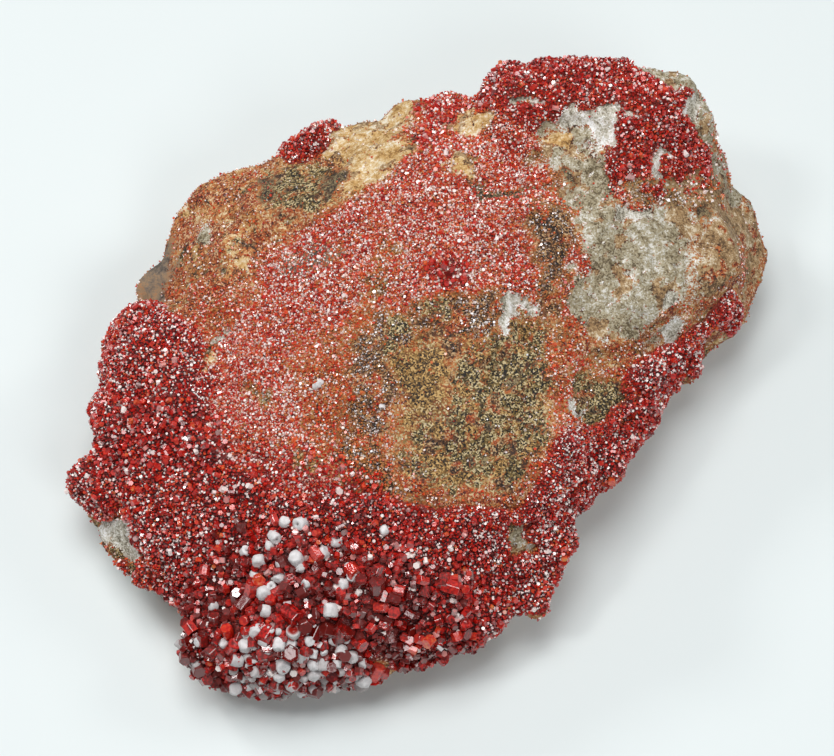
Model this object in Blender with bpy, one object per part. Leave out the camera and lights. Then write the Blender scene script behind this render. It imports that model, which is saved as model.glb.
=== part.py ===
"""Vanadinite on matrix: a hand-sized slab of weathered rock with crusts of red crystals.

The matrix is one solid. Its outline and the heights of its upper face go through hand-chosen points;
broken faces, ledges, pits and a rough grain then break up the smooth surface between them.
The crusts and the white-coated crystals are solids of their own, with the crystals fused to what they
grow from. Each keeps a small gap to its neighbour.

Lengths in the tables are millimetres, measured from the middle of the slab: +X to the right, +Y away
from the front, +Z up from the surface that the slab lies on.
"""

import math
import random

import bmesh
import bpy
import numpy as np
from mathutils import Matrix, Vector, noise
from mathutils.bvhtree import BVHTree

MM = 0.001
QUARTER_TURN = math.pi / 2

# ---------------------------------------------------------------------------------------------------
# Driving dimensions of the matrix
# ---------------------------------------------------------------------------------------------------

# The rim, anticlockwise seen from above: x, y and the height of the edge there.
RIM = (
    (60.5, 25, 11),  # right-hand corner
    (59, 30, 13),
    (56.5, 34, 16),
    (53.5, 35.5, 18),
    (52.5, 39.5, 22),
    (50, 42.5, 26),
    (48, 45, 29),
    (46, 47.5, 31),  # back corner of the crest
    (39, 49.5, 33),
    (33, 50.5, 34),
    (25, 50, 34),
    (17.5, 50, 33),
    (12.5, 49.5, 32),
    (10.5, 47, 29),  # the crest ends in a step
    (4, 47.5, 28),
    (-2.5, 46.5, 27),
    (-8, 43.5, 25),
    (-13.5, 43.5, 24),
    (-19, 43, 24),
    (-25, 40, 22),
    (-31, 37, 20),
    (-37.5, 33.5, 18),
    (-41.5, 31.5, 16),
    (-41.5, 27, 14),
    (-43.5, 23.5, 13),
    (-47, 21, 13),
    (-47.5, 14, 15),  # the left lobe starts
    (-50, 11, 16),
    (-53, 5.5, 15),
    (-53.5, 0.5, 14),
    (-54, -6, 13),
    (-53.5, -13, 12),
    (-56.5, -19, 10),  # left tip
    (-54, -23, 9),
    (-50.5, -28, 8),
    (-46, -35, 8),
    (-41, -37.5, 8),
    (-38.5, -42.5, 9),  # inner corner before the front lump
    (-37.5, -48.5, 7),
    (-34.5, -51.5, 5),
    (-28, -53, 4),
    (-18.5, -53.5, 5),
    (-11.5, -52, 5),
    (-3.5, -52, 6),
    (2, -49.5, 7),
    (8.5, -47, 7),
    (14, -43.5, 7),
    (17.5, -39.5, 9),  # notch
    (20.5, -41.5, 9),  # hanging spur
    (23.5, -34.5, 10),
    (26, -30, 11),
    (26.5, -25, 12),
    (29.5, -21.5, 12),
    (33.5, -17, 12),
    (37.5, -12, 11),
    (40.5, -5.5, 10),
    (45.5, 2, 8),
    (50.5, 7, 8),
    (54, 10.5, 9),
    (55, 13, 10),
    (58.5, 20, 10),
)

# Spot heights on the upper face: x, y and height.
SPOT_HEIGHTS = (
    (15.5, 44, 36),  # crest, west
    (24.5, 41, 37.5),  # crest, middle
    (33, 39.5, 38.5),  # crest, top
    (42, 38, 36),  # crest, east
    (36.5, 28, 35),  # crest, south
    (46, 33, 29),
    (30, 25, 33.5),  # saddle between crest and grey bench
    (8.5, 37, 34),  # tan ledge
    (20, 34, 35),
    (16.5, 25, 36.5),  # main ridge, upper end
    (4.5, 13.5, 37.5),  # main ridge, crown
    (-2.5, -1.5, 36),
    (-5, -15.5, 33),  # main ridge, lower end
    (-12.5, 11, 33.5),  # left slope
    (-20, -0.5, 31),
    (-31.5, -6.5, 26),
    (-43, -3, 22),  # left lobe, crown
    (-49, -6, 18.5),
    (-45.5, 8.5, 19.5),
    (-43, 17.5, 14),  # hollow behind the lobe
    (-36.5, 24, 20),  # back slope
    (-27, 28.5, 25.5),
    (-13.5, 31.5, 29.5),
    (-2, 36, 32),
    (-29.5, 8.5, 25),
    (8.5, -1, 35.5),  # sandy face, top
    (20.5, -3.5, 31),
    (6.5, -16.5, 31.5),
    (10, -26.5, 26.5),
    (22, -15.5, 26),
    (28.5, 16, 33),  # grey bench
    (43, 22.5, 28.5),
    (38.5, 11, 27),
    (53.5, 22, 18.5),
    (30.5, 3, 28),
    (49, 9.5, 17),  # right rim
    (38.5, -1.5, 20),
    (29.5, -7.5, 25),
    (33.5, -12, 17.5),
    (24.5, -22.5, 20),
    (-16.5, -24, 29),  # front slope
    (-2.5, -31.5, 26),
    (-27.5, -24, 25.5),
    (-12, -39.5, 21),
    (3.5, -40, 18.5),
    (18, -33.5, 17),  # root of the spur
    (-26, -40.5, 17),  # neck behind the front lump
    (-35, -37.5, 13),
    (-26, -46.5, 15.5),  # front lump
    (-13.5, -48.5, 13.5),
    (-34, -46.5, 12),
    (-42.5, -20, 20.5),  # left tip
    (-51, -18.5, 14.5),
    (-40, -31, 16),
    (-2.5, -47.5, 12.5),
)

# Broken faces: middle x, y, radius along and across, turn in degrees, height at the middle, slopes in X and Y.
BROKEN_FACES = (
    (42.0, 15.5, 16.0, 11.0, 35.0, 27.6, -0.42, 0.16),  # grey bench
    (13.5, -14.0, 14.0, 12.0, -15.0, 30.6, -0.26, 0.33),  # sandy face
    (-20.5, 30.0, 12.0, 7.5, 35.0, 27.0, 0.28, -0.46),  # brown patch on the back slope
    (29.5, -6.0, 5.0, 4.5, 20.0, 24.2, -0.50, 0.25),  # small grey patch
    (-47.5, -26.5, 9.0, 3.4, -57.0, 12.0, 0.80, 0.62),  # fresh break at the left tip
    (46.5, 41.5, 6.5, 3.6, -64.0, 32.2, -0.85, -0.10),  # grey wall of the crest
)
BROKEN_EDGE = 0.28  # share of a broken face's radius over which it meets the rest

# Ledges: both ends on the plan, height of the step, width of the step and reach on the low side.
LEDGES = (
    ((5.0, 41.0), (21.5, 31.0), 2.6, 1.8, 10.0),  # foot of the crest, over the tan bench
    ((21.5, 31.0), (28.0, 22.5), 2.2, 2.0, 8.0),
    ((6.5, 25.2), (19.0, 26.6), 2.0, 1.0, 5.0),  # lip with the dark line under it
    ((20.5, 17.0), (22.5, -2.0), 1.6, 2.4, 8.0),  # edge above the grey bench
    ((-33.0, 14.0), (-8.0, 31.0), 1.3, 1.6, 8.0),  # edge of the red slope over the back slope
    ((-40.5, 12.5), (-50.0, 13.5), 2.4, 1.2, 6.0),  # lobe over the hollow behind it
    ((36.0, 4.0), (53.5, 14.0), 1.2, 1.6, 6.0),  # red rim beside the grey bench
)

# Pits and lumps: x, y, radius and height, negative where it is a pit.
PITS_AND_LUMPS = (
    (-34.0, 1.0, 2.2, -1.2),
    (-31.5, 3.0, 2.0, -1.0),
    (-24.5, -10.5, 2.6, -1.2),
    (-12.0, -21.5, 2.8, -1.0),
    (-37.5, -38.0, 3.4, -3.4),
    (-30.0, -40.0, 2.6, -1.6),
    (-26.0, 20.5, 3.4, -1.6),
    (-32.0, 19.0, 2.4, 1.4),
    (-16.0, 38.5, 2.6, 1.8),
    (3.5, 9.0, 3.4, 1.3),
    (14.5, 6.0, 3.2, 1.1),
    (27.0, -4.5, 1.8, 1.0),
    (28.5, -9.5, 1.8, -1.1),
    (37.5, 33.5, 3.0, -1.0),
    (21.5, 26.0, 2.4, -1.5),
    (-9.5, 2.0, 3.6, -0.8),
    (0.5, 0.5, 4.0, 1.2),
    (-44.5, 0.5, 4.5, 1.6),
    (-22.0, -47.0, 4.5, 1.8),
    (-8.0, -49.0, 4.0, 1.2),
    (45.0, 27.5, 2.2, -1.2),
    (50.0, 10.0, 2.4, 1.0),
)

# How far the wall tucks in under the rim, by azimuth in degrees.
UNDERCUT_AZIMUTH = (0, 20, 45, 90, 135, 165, 200, 230, 260, 285, 300, 320, 340, 360)
UNDERCUT = (12, 12, 6, 4, 6, 9, 11, 9, 12, 15, 20, 13, 12, 12)
TUCK_CURVE = 1.3  # above 1 the wall tucks in more the lower it is
WALL_BULGE = 1.6  # how far a wall of the tallest height swells out halfway down
TALLEST_WALL = 30
WALL_SHARE = 0.6  # share of the lower half that is wall; the rest is the flat underside
RIM_BLEND = (0.97, 1.0)  # shares of the way to the rim over which the upper face comes to its height

GRAIN = ((9.0, 0.85), (4.2, 0.45))  # rough grain: size of the lumps and how high they stand
CHIP_SIZE = 7.5  # flat chips of the walls
CHIP_TILT = 0.5
CHIP_VARIETY = 7.3  # steps through the noise from one chip's tilt to the next one's
MOST_CHIP = 1.5
CHIPS_ON_TOP = 0.45  # share of the walls' chips that the upper face has
ALL_CHIPS = (0.80, 1.02)  # shares of the way to the rim over which the chips grow to those of the walls
SMOOTH_FOOT = (0.5, 4.0)  # heights over which the grain fades in above the underside

# How far the rim stands back under its crust, by azimuth in degrees.
CRUST_AZIMUTH = (0, 14, 22, 42, 50, 76, 82, 103, 108, 120, 125, 158, 168, 196, 206, 214, 222, 360)
ROOM_FOR_CRUST = (2.2, 1.2, 0, 0, 1.6, 1.6, 0, 0, 1.4, 1.4, 0, 0, 2.2, 2.2, 0.5, 0.5, 2.2, 2.2)

BALL_SUBDIVISIONS = 6
MATRIX_TRIANGLES = 2200

BASE_PLAY = 0.2  # corners this close to the underside's plane belong to it
KEPT_FACES = 0.95  # share of the faces left after a cut, once its slivers and flattest faces are merged

# ---------------------------------------------------------------------------------------------------
# Driving dimensions of the crusts
# ---------------------------------------------------------------------------------------------------

# A patch runs between two azimuths, in degrees. Its inner and outer limits are given in equal steps from
# one to the other, as shares of the way from the top, 0, over the rim, 1, to the underside's middle, 2.
CRUSTS = {
    "main_crust": {
        "azimuths": (161, 374),
        "inner": (0.94, 0.68, 0.62, 0.64, 0.65, 0.56, 0.56, 0.60, 0.68, 0.79, 0.81, 0.86, 0.87, 0.89, 0.96),
        "outer": (1.08, 1.20, 1.22, 0.97, 1.10, 1.00, 0.98, 1.14, 1.10, 1.18, 1.22, 1.18, 1.12, 1.08, 1.03),
    },
    "crest_crust": {"azimuths": (28, 77), "inner": (0.72, 0.57, 0.70, 0.86), "outer": (0.90, 0.97, 1.04, 1.04)},
    "back_edge_crust": {"azimuths": (107, 121), "inner": (0.88, 0.84, 0.86), "outer": (1.06, 1.10, 1.06)},
}
WHITE_COATS = {
    "white_crystals_upper": {
        "azimuths": (232, 256),
        "inner": (0.70, 0.61, 0.66, 0.74),
        "outer": (0.80, 0.83, 0.81, 0.80),
    },
    "white_crystals_front": {
        "azimuths": (231, 264.3),
        "inner": (0.93, 0.90, 0.88, 0.94, 0.98),
        "outer": (1.06, 1.12, 1.12, 1.10, 1.04),
    },
}
# How many large crystals stand on each crust, and the smallest and largest radius.
LARGE_CRYSTALS = {
    "main_crust": (72, (0.9, 2.2)),
    "crest_crust": (18, (0.8, 1.2)),
    "back_edge_crust": (6, (0.7, 1.0)),
    "white_crystals_upper": (14, (0.8, 1.3)),
    "white_crystals_front": (14, (0.8, 1.3)),
}
CRYSTAL_LENGTH = (1.5, 2.5)  # in radii
CRYSTAL_TILT = 62  # most degrees between a crystal and the surface's normal
CRYSTAL_RISE = 0.3  # height of a crystal's middle over the crust, in radii
CLOSENESS = 0.95  # least distance between two crystals, in their radii added up
LOWEST_CRYSTAL = 5.5
WHITE_TAPER = 0.25  # the white coat rounds a crystal off towards its tip
FEW_LARGE = 2.2  # above 1 there are fewer large crystals than small ones
CRUST_BORDER = 0.06  # share of a patch along each limit without large crystals
WHITE_BORDER = 0.1
KEEP_OFF = 2.4  # distance from a red crystal to a white coat, in the crystal's radii
TRIES = 60  # places tried for each crystal

CRUST_GAP = 0.5  # between matrix and crust; less of it is left at the sharpest edges
CRUST_DEPTH = 1.9
CRUST_LUMPS = 1.2
LUMP_SIZE = 2.3
WINDOW_MARGIN = 0.03  # radians left round a white coat
WINDOW_GAP = 0.012  # radians between the window's edge and the outermost white crystal
RAGGED = 0.05  # how far the limits of a patch wander, in radians
RAGGED_RATE = 12  # how fast they wander along the azimuth

FAN_LEVEL = (0.5, 1.0)  # shares of the way to the rim over which growth turns outward
FAN_LIFT = (0.35, 0.95)  # shares of the rim's height over which it turns upward

MEAN_RADIUS = 52.0
BLOCK_STEP = 4.5  # size of the faces of the block that cuts out a patch
BLOCK_ROOT = 3.5  # how deep it reaches into the matrix
BLOCK_TOP = 9.0  # how far it stands out of it
UNEVEN = 0.25  # how far a block's corners stray, so that no two blocks have sides in one plane
RAY_START = 6.0  # where a search for the surface starts, outside the matrix

SEED = 41


# ---------------------------------------------------------------------------------------------------
# The matrix as a surface: azimuth about Z, and a polar angle of 0 at the top, 90 degrees at the rim
# and 180 in the middle of the underside
# ---------------------------------------------------------------------------------------------------


def thin_plate(points):
    """The weights of the smoothest surface through the points, and the points themselves."""
    known = np.array(points, float)
    away = np.hypot(*(known[:, None, :2] - known[None, :, :2]).transpose(2, 0, 1))
    kernel = away**2 * np.log(away + 1e-9)
    flat = np.column_stack([np.ones(len(known)), known[:, :2]])
    whole = np.block([[kernel, flat], [flat.T, np.zeros((3, 3))]])
    return known, np.linalg.solve(whole, np.append(known[:, 2], np.zeros(3)))


SURFACE_POINTS, SURFACE_WEIGHTS = thin_plate(RIM + SPOT_HEIGHTS)


def smooth_height(x, y):
    away = np.hypot(x[..., None] - SURFACE_POINTS[:, 0], y[..., None] - SURFACE_POINTS[:, 1])
    kernel = away**2 * np.log(away + 1e-9)
    level, along_x, along_y = SURFACE_WEIGHTS[-3:]
    return kernel @ SURFACE_WEIGHTS[:-3] + level + along_x * x + along_y * y


def smooth_step(low, high, value):
    share = np.clip((value - low) / (high - low), 0, 1)
    return share * share * (3 - 2 * share)


def broken_face(x, y, height, face):
    """The height with one broken face blended in."""
    middle_x, middle_y, along, across, turn, level, slope_x, slope_y = face
    cosine, sine = math.cos(math.radians(turn)), math.sin(math.radians(turn))
    east, north = x - middle_x, y - middle_y
    reach = np.hypot((east * cosine + north * sine) / along, (north * cosine - east * sine) / across)
    plane = level + slope_x * east + slope_y * north
    return height + (plane - height) * smooth_step(1, 1 - BROKEN_EDGE, reach)


def ledge(x, y, step):
    """A drop that is sharp at the line and fades out on its low side, to the right of start to end."""
    (x0, y0), (x1, y1), drop, width, reach = step
    length = math.hypot(x1 - x0, y1 - y0)
    along = ((x - x0) * (x1 - x0) + (y - y0) * (y1 - y0)) / length
    aside = ((x - x0) * (y1 - y0) - (y - y0) * (x1 - x0)) / length
    ends = smooth_step(-2.5, 1.5, along) * smooth_step(length + 2.5, length - 1.5, along)
    return -drop * ends * smooth_step(0, width, aside) * smooth_step(reach + width, width, aside)


def top_height(x, y):
    height = smooth_height(x, y)
    for face in BROKEN_FACES:
        height = broken_face(x, y, height, face)
    for step in LEDGES:
        height = height + ledge(x, y, step)
    for middle_x, middle_y, radius, lift in PITS_AND_LUMPS:
        height = height + lift * np.exp(-((x - middle_x) ** 2 + (y - middle_y) ** 2) / radius**2)
    return height


def rim_at(azimuth):
    """Radius and height of the rim at each azimuth."""
    x, y, z = np.array(RIM, float).T
    turn = np.arctan2(y, x) % math.tau
    order = np.argsort(turn)
    turn, radius, height = turn[order], np.hypot(x, y)[order], z[order]
    at = azimuth % math.tau
    room = np.interp(np.degrees(at), CRUST_AZIMUTH, ROOM_FOR_CRUST)
    return np.interp(at, turn, radius, period=math.tau) - room, np.interp(at, turn, height, period=math.tau)


def chips(point):
    """How far the chips of a broken wall stand out at a point: each cell of the pattern is a flat chip."""
    near = noise.voronoi(point / CHIP_SIZE)[1][0]
    tilt = noise.noise_vector(near * CHIP_VARIETY)
    return max(-MOST_CHIP, min(MOST_CHIP, CHIP_TILT * tilt.dot(point - near * CHIP_SIZE)))


def roughness(point):
    """How far the grain stands out at a point."""
    return sum(tall * noise.fractal(point / size, 1.0, 2.0, 2) for size, tall in GRAIN)


def matrix_points(azimuth, polar):
    """Points of the matrix, without its grain, as an array of x, y, z."""
    azimuth, polar = np.atleast_1d(azimuth).astype(float), np.atleast_1d(polar).astype(float)
    radius, rim_height = rim_at(azimuth)
    share = np.clip(polar / QUARTER_TURN, 0, 1)
    x, y = radius * share * np.cos(azimuth), radius * share * np.sin(azimuth)
    top = top_height(x, y)
    top = top + (rim_height - top) * smooth_step(*RIM_BLEND, share)
    down = np.clip((polar / QUARTER_TURN - 1) / WALL_SHARE, 0, 1)
    tuck = np.interp(np.degrees(azimuth % math.tau), UNDERCUT_AZIMUTH, UNDERCUT)
    bulge = WALL_BULGE * np.sin(down * math.pi) * rim_height / TALLEST_WALL
    wall_radius = radius - tuck * down**TUCK_CURVE + bulge
    inward = np.clip((polar / QUARTER_TURN - 1 - WALL_SHARE) / (1 - WALL_SHARE), 0, 1)
    low_radius = wall_radius * (1 - inward)
    below = polar > QUARTER_TURN
    x = np.where(below, low_radius * np.cos(azimuth), x)
    y = np.where(below, low_radius * np.sin(azimuth), y)
    z = np.where(below, rim_height * (1 - down), top)
    return np.column_stack([x, y, z])


def matrix_normals(azimuth, polar):
    """Unit normals of the smooth matrix, from nearby points."""
    nudge = 0.012
    turned = matrix_points(azimuth + nudge, polar) - matrix_points(azimuth - nudge, polar)
    lowered = matrix_points(azimuth, polar + nudge) - matrix_points(azimuth, np.maximum(polar - nudge, 1e-3))
    normal = np.cross(lowered, turned)
    return normal / np.linalg.norm(normal, axis=1)[:, None]


def fanned_out(places):
    """Directions away from the matrix that never cross, even in a notch: up on top, outward on the walls."""
    azimuth = np.arctan2(places[:, 1], places[:, 0])
    radius, rim_height = rim_at(azimuth)
    level = smooth_step(*FAN_LEVEL, np.hypot(places[:, 0], places[:, 1]) / radius)
    lift = smooth_step(*FAN_LIFT, places[:, 2] / rim_height)
    away = np.column_stack([level * np.cos(azimuth), level * np.sin(azimuth), lift + 1e-3])
    return away / np.linalg.norm(away, axis=1)[:, None]


def rough_points(azimuth, polar):
    """Points of the matrix with grain on its faces and chips on its walls, and their normals."""
    azimuth, polar = np.atleast_1d(azimuth), np.atleast_1d(polar)
    smooth, normals = matrix_points(azimuth, polar), matrix_normals(azimuth, polar)
    chipped = CHIPS_ON_TOP + (1 - CHIPS_ON_TOP) * smooth_step(*ALL_CHIPS, polar / QUARTER_TURN)
    above_base = smooth_step(*SMOOTH_FOOT, smooth[:, 2])
    moved = smooth.copy()
    for row, (place, normal) in enumerate(zip(smooth, normals)):
        point = Vector(place)
        out = roughness(point) + chipped[row] * chips(point)
        moved[row] += normal * out * above_base[row]
    moved[:, 2] = np.maximum(moved[:, 2], 0)
    return moved, normals


# ---------------------------------------------------------------------------------------------------
# Objects and Booleans
# ---------------------------------------------------------------------------------------------------


def clear_scene():
    for thing in list(bpy.data.objects):
        bpy.data.objects.remove(thing, do_unlink=True)


def material(name, colour, roughness_value):
    made = bpy.data.materials.new(name)
    made.use_nodes = True
    shader = made.node_tree.nodes["Principled BSDF"]
    shader.inputs["Base Color"].default_value = (*colour, 1)
    shader.inputs["Roughness"].default_value = roughness_value
    shader.inputs["Metallic"].default_value = 0.0
    made.diffuse_color = (*colour, 1)
    return made


def object_from(name, bm, finish=None):
    """An object with the bmesh's shape, which is in millimetres."""
    bmesh.ops.scale(bm, vec=(MM, MM, MM), verts=bm.verts)
    mesh = bpy.data.meshes.new(name)
    bm.to_mesh(mesh)
    bm.free()
    made = bpy.data.objects.new(name, mesh)
    bpy.context.scene.collection.objects.link(made)
    if finish:
        mesh.materials.append(finish)
    return made


def as_cutter(thing):
    thing.hide_render = True
    thing.display_type = "WIRE"
    return thing


def settle(thing):
    """Applies the object's modifiers and keeps only its largest body, without the crumbs of a cut."""
    graph = bpy.context.evaluated_depsgraph_get()
    mesh = bpy.data.meshes.new_from_object(thing.evaluated_get(graph))
    thing.modifiers.clear()
    bm = bmesh.new()
    bm.from_mesh(mesh)
    bodies, seen = [], set()
    for start in bm.faces:
        if start in seen:
            continue
        body, newest = {start}, [start]
        while newest:
            shared = [e for face in newest for e in face.edges if len(e.link_faces) == 2]
            reached = {face for e in shared for face in e.link_faces} - body
            body |= reached
            newest = list(reached)
        seen |= body
        bodies.append(body)
    bodies.sort(key=len)
    crumbs = [face for body in bodies[:-1] for face in body]
    bmesh.ops.delete(bm, geom=crumbs, context="FACES")
    bmesh.ops.triangulate(bm, faces=bm.faces)
    for face in bm.faces:
        face.material_index = 0
    bm.to_mesh(mesh)
    bm.free()
    finish = thing.data.materials[0]
    mesh.materials.clear()
    mesh.materials.append(finish)
    thing.data = mesh


def stand_on_origin():
    """Moves the specimen so that the middle of its underside's box is at the origin."""
    solids = [thing for thing in bpy.data.objects if not thing.hide_render]
    corners = np.array([vert.co for thing in solids for vert in thing.data.vertices])
    low, high = corners.min(axis=0), corners.max(axis=0)
    for thing in solids:
        thing.location = (-(low[0] + high[0]) / 2, -(low[1] + high[1]) / 2, -low[2])


def combine(thing, operation, tools):
    """Joins or cuts with each tool in turn. MANIFOLD keeps many small crossing shapes closed; EXACT doesn't."""
    for tool in tools:
        boolean = thing.modifiers.new(f"{operation.lower()} {tool.name}", "BOOLEAN")
        boolean.operation = operation
        boolean.object = tool
        boolean.solver = "MANIFOLD"


# ---------------------------------------------------------------------------------------------------
# The matrix
# ---------------------------------------------------------------------------------------------------


def matrix_mesh():
    """A ball whose points are moved to the surface of the matrix."""
    bm = bmesh.new()
    bmesh.ops.create_icosphere(bm, subdivisions=BALL_SUBDIVISIONS, radius=1)
    azimuth = np.array([math.atan2(v.co.y, v.co.x) for v in bm.verts])
    polar = np.array([math.acos(max(-1, min(1, v.co.z))) for v in bm.verts])
    places, _ = rough_points(azimuth, np.clip(polar, 0.004, math.pi - 1e-4))
    for vert, place in zip(bm.verts, places):
        vert.co = place
    bmesh.ops.triangulate(bm, faces=bm.faces)
    return bm


def thin_out(thing, share):
    """Leaves that share of the triangles, the fewest on the flattest places."""
    thinning = thing.modifiers.new("thin out", "DECIMATE")
    thinning.ratio = share


def flatten_base(matrix):
    """Brings the corners that thinning out has moved back to the plane that the matrix lies on."""
    for vert in matrix.data.vertices:
        if vert.co.z < BASE_PLAY * MM:
            vert.co.z = 0


def hollow_for(matrix):
    """The matrix grown by the gap all over, to cut its neighbours with."""
    made = bpy.data.objects.new("hollow", matrix.data)
    bpy.context.scene.collection.objects.link(made)
    swell = made.modifiers.new("swell", "DISPLACE")
    swell.strength = CRUST_GAP * MM
    swell.mid_level = 0
    return as_cutter(made)


def overgrown(matrix, name, finish):
    """The matrix with a lumpy crust all over, to cut a patch of crust from."""
    bm = bmesh.new()
    bm.from_mesh(matrix.data)
    bmesh.ops.scale(bm, vec=(1 / MM, 1 / MM, 1 / MM), verts=bm.verts)
    away = fanned_out(np.array([vert.co for vert in bm.verts]))
    for vert, outward in zip(bm.verts, away):
        vert.co += Vector(outward) * (CRUST_DEPTH + CRUST_LUMPS * noise.noise(vert.co / LUMP_SIZE))
    return object_from(name, bm, finish)


def surface_of(thing):
    """The settled object's surface, in millimetres, to set crystals on."""
    bm = bmesh.new()
    bm.from_mesh(thing.data)
    bmesh.ops.scale(bm, vec=(1 / MM, 1 / MM, 1 / MM), verts=bm.verts)
    tree = BVHTree.FromBMesh(bm)
    bm.free()
    return tree


# ---------------------------------------------------------------------------------------------------
# Crystals and crusts
# ---------------------------------------------------------------------------------------------------


def crystal(foot, axis, radius, length, taper):
    """A six-sided prism with flat ends; the taper is the share of its radius that it loses towards its tip."""
    outward = Vector(axis).normalized()
    turn = outward.to_track_quat("Z", "Y").to_matrix().to_4x4()
    bm = bmesh.new()
    bmesh.ops.create_cone(
        bm,
        cap_ends=True,
        segments=6,
        radius1=radius,
        radius2=radius * (1 - taper),
        depth=length,
        matrix=Matrix.Translation(Vector(foot) + outward * length / 2) @ turn,
    )
    return as_cutter(object_from("crystal", bm))


def tilted(normal, most, draw):
    """The normal, tipped by up to that many degrees in a random direction."""
    normal = Vector(normal)
    aside = normal.orthogonal().normalized()
    aside.rotate(Matrix.Rotation(draw.uniform(0, math.tau), 3, normal))
    tipped = normal.copy()
    tipped.rotate(Matrix.Rotation(math.radians(draw.uniform(0, most)), 3, aside))
    return tipped.normalized()


class Patch:
    """A part of the matrix's surface, with limits as the driving dimensions give them."""

    def __init__(self, surface, azimuths, inner, outer):
        self.surface = surface
        self.azimuths = np.radians(azimuths)
        self.inner = np.array(inner) * QUARTER_TURN
        self.outer = np.array(outer) * QUARTER_TURN
        length, width = np.ptp(self.azimuths), np.mean(self.outer - self.inner) / QUARTER_TURN
        self.steps = [max(2, round(size * MEAN_RADIUS / BLOCK_STEP)) for size in (length, width)]

    def limits(self, azimuth):
        steps = np.linspace(*self.azimuths, len(self.inner))
        wander = [RAGGED * noise.noise(Vector((RAGGED_RATE * a, 0, 0))) for a in np.atleast_1d(azimuth)]
        inner, outer = np.interp(azimuth, steps, self.inner), np.interp(azimuth, steps, self.outer)
        return inner + wander, outer - wander

    def holds(self, azimuth, polar, margin):
        """Whether a place is in the patch, or within a margin of it in radians."""
        turned = (azimuth - self.azimuths[0]) % math.tau + self.azimuths[0]
        low, high = self.limits(turned)
        along = turned < self.azimuths[1] + margin or turned - math.tau > self.azimuths[0] - margin
        return along and low - margin < polar < high + margin

    def foot(self, azimuth, polar):
        """A point of the settled matrix, and the direction that faces away from it there."""
        azimuth, polar = np.atleast_1d(azimuth), np.atleast_1d(polar)
        place = Vector(matrix_points(azimuth, polar)[0])
        outward = Vector(matrix_normals(azimuth, polar)[0])
        hit = self.surface.ray_cast(place + outward * RAY_START, -outward)[0]
        return hit or place, outward

    def block(self, margin=0.0):
        """A closed block that reaches from inside the matrix to well over it, to cut the patch out with."""
        start, end = self.azimuths[0] - margin, self.azimuths[1] + margin
        long_way, across = self.steps
        azimuth = np.repeat(np.linspace(start, end, long_way + 1), across + 1)
        low, high = self.limits(azimuth)
        share = np.tile(np.linspace(0, 1, across + 1), long_way + 1)
        places = matrix_points(azimuth, low - margin + (high - low + 2 * margin) * share)
        bm = bmesh.new()
        bmesh.ops.create_grid(bm, x_segments=across, y_segments=long_way, size=1)
        roof = list(bm.verts)
        floor = bmesh.ops.duplicate(bm, geom=list(bm.faces))["vert_map"]
        draw = random.Random(SEED)
        for vert, place, outward in zip(roof, places, fanned_out(places)):
            aside = Vector([draw.uniform(-UNEVEN, UNEVEN) for _ in range(3)])
            vert.co = Vector(place + outward * BLOCK_TOP) + aside
            floor[vert].co = Vector(place - outward * BLOCK_ROOT) + aside
        bmesh.ops.bridge_loops(bm, edges=[e for e in bm.edges if e.is_boundary])
        bmesh.ops.recalc_face_normals(bm, faces=bm.faces)
        bmesh.ops.triangulate(bm, faces=bm.faces)
        return as_cutter(object_from("block", bm))


def crystals_on(patch, name, taper, border, draw, keep_off=()):
    """Large crystals spread over a patch, none closer to another than their sizes allow."""
    crystals, radii = LARGE_CRYSTALS[name]
    grown, placed = [], []
    for _ in range(crystals * TRIES):
        if len(placed) == crystals:
            break
        start, end = patch.azimuths
        azimuth = start + draw.uniform(border, 1 - border) * (end - start)
        low, high = patch.limits(azimuth)
        polar = low + draw.uniform(border, 1 - border) * (high - low)
        radius = radii[0] + (radii[1] - radii[0]) * draw.random() ** FEW_LARGE
        margin = KEEP_OFF * radius / MEAN_RADIUS
        if any(other.holds(azimuth, polar, margin) for other in keep_off):
            continue
        place, outward = patch.foot(azimuth, polar)
        crowded = any((place - other).length < CLOSENESS * (radius + size) for other, size in placed)
        if crowded or place.z < LOWEST_CRYSTAL:
            continue
        placed.append((place, radius))
        axis = tilted(outward, CRYSTAL_TILT, draw)
        length = radius * draw.uniform(*CRYSTAL_LENGTH)
        foot = place + outward * (CRUST_DEPTH + CRYSTAL_RISE * radius) - axis * length / 2
        grown.append(crystal(foot, axis, radius, length, taper))
    return grown


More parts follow.
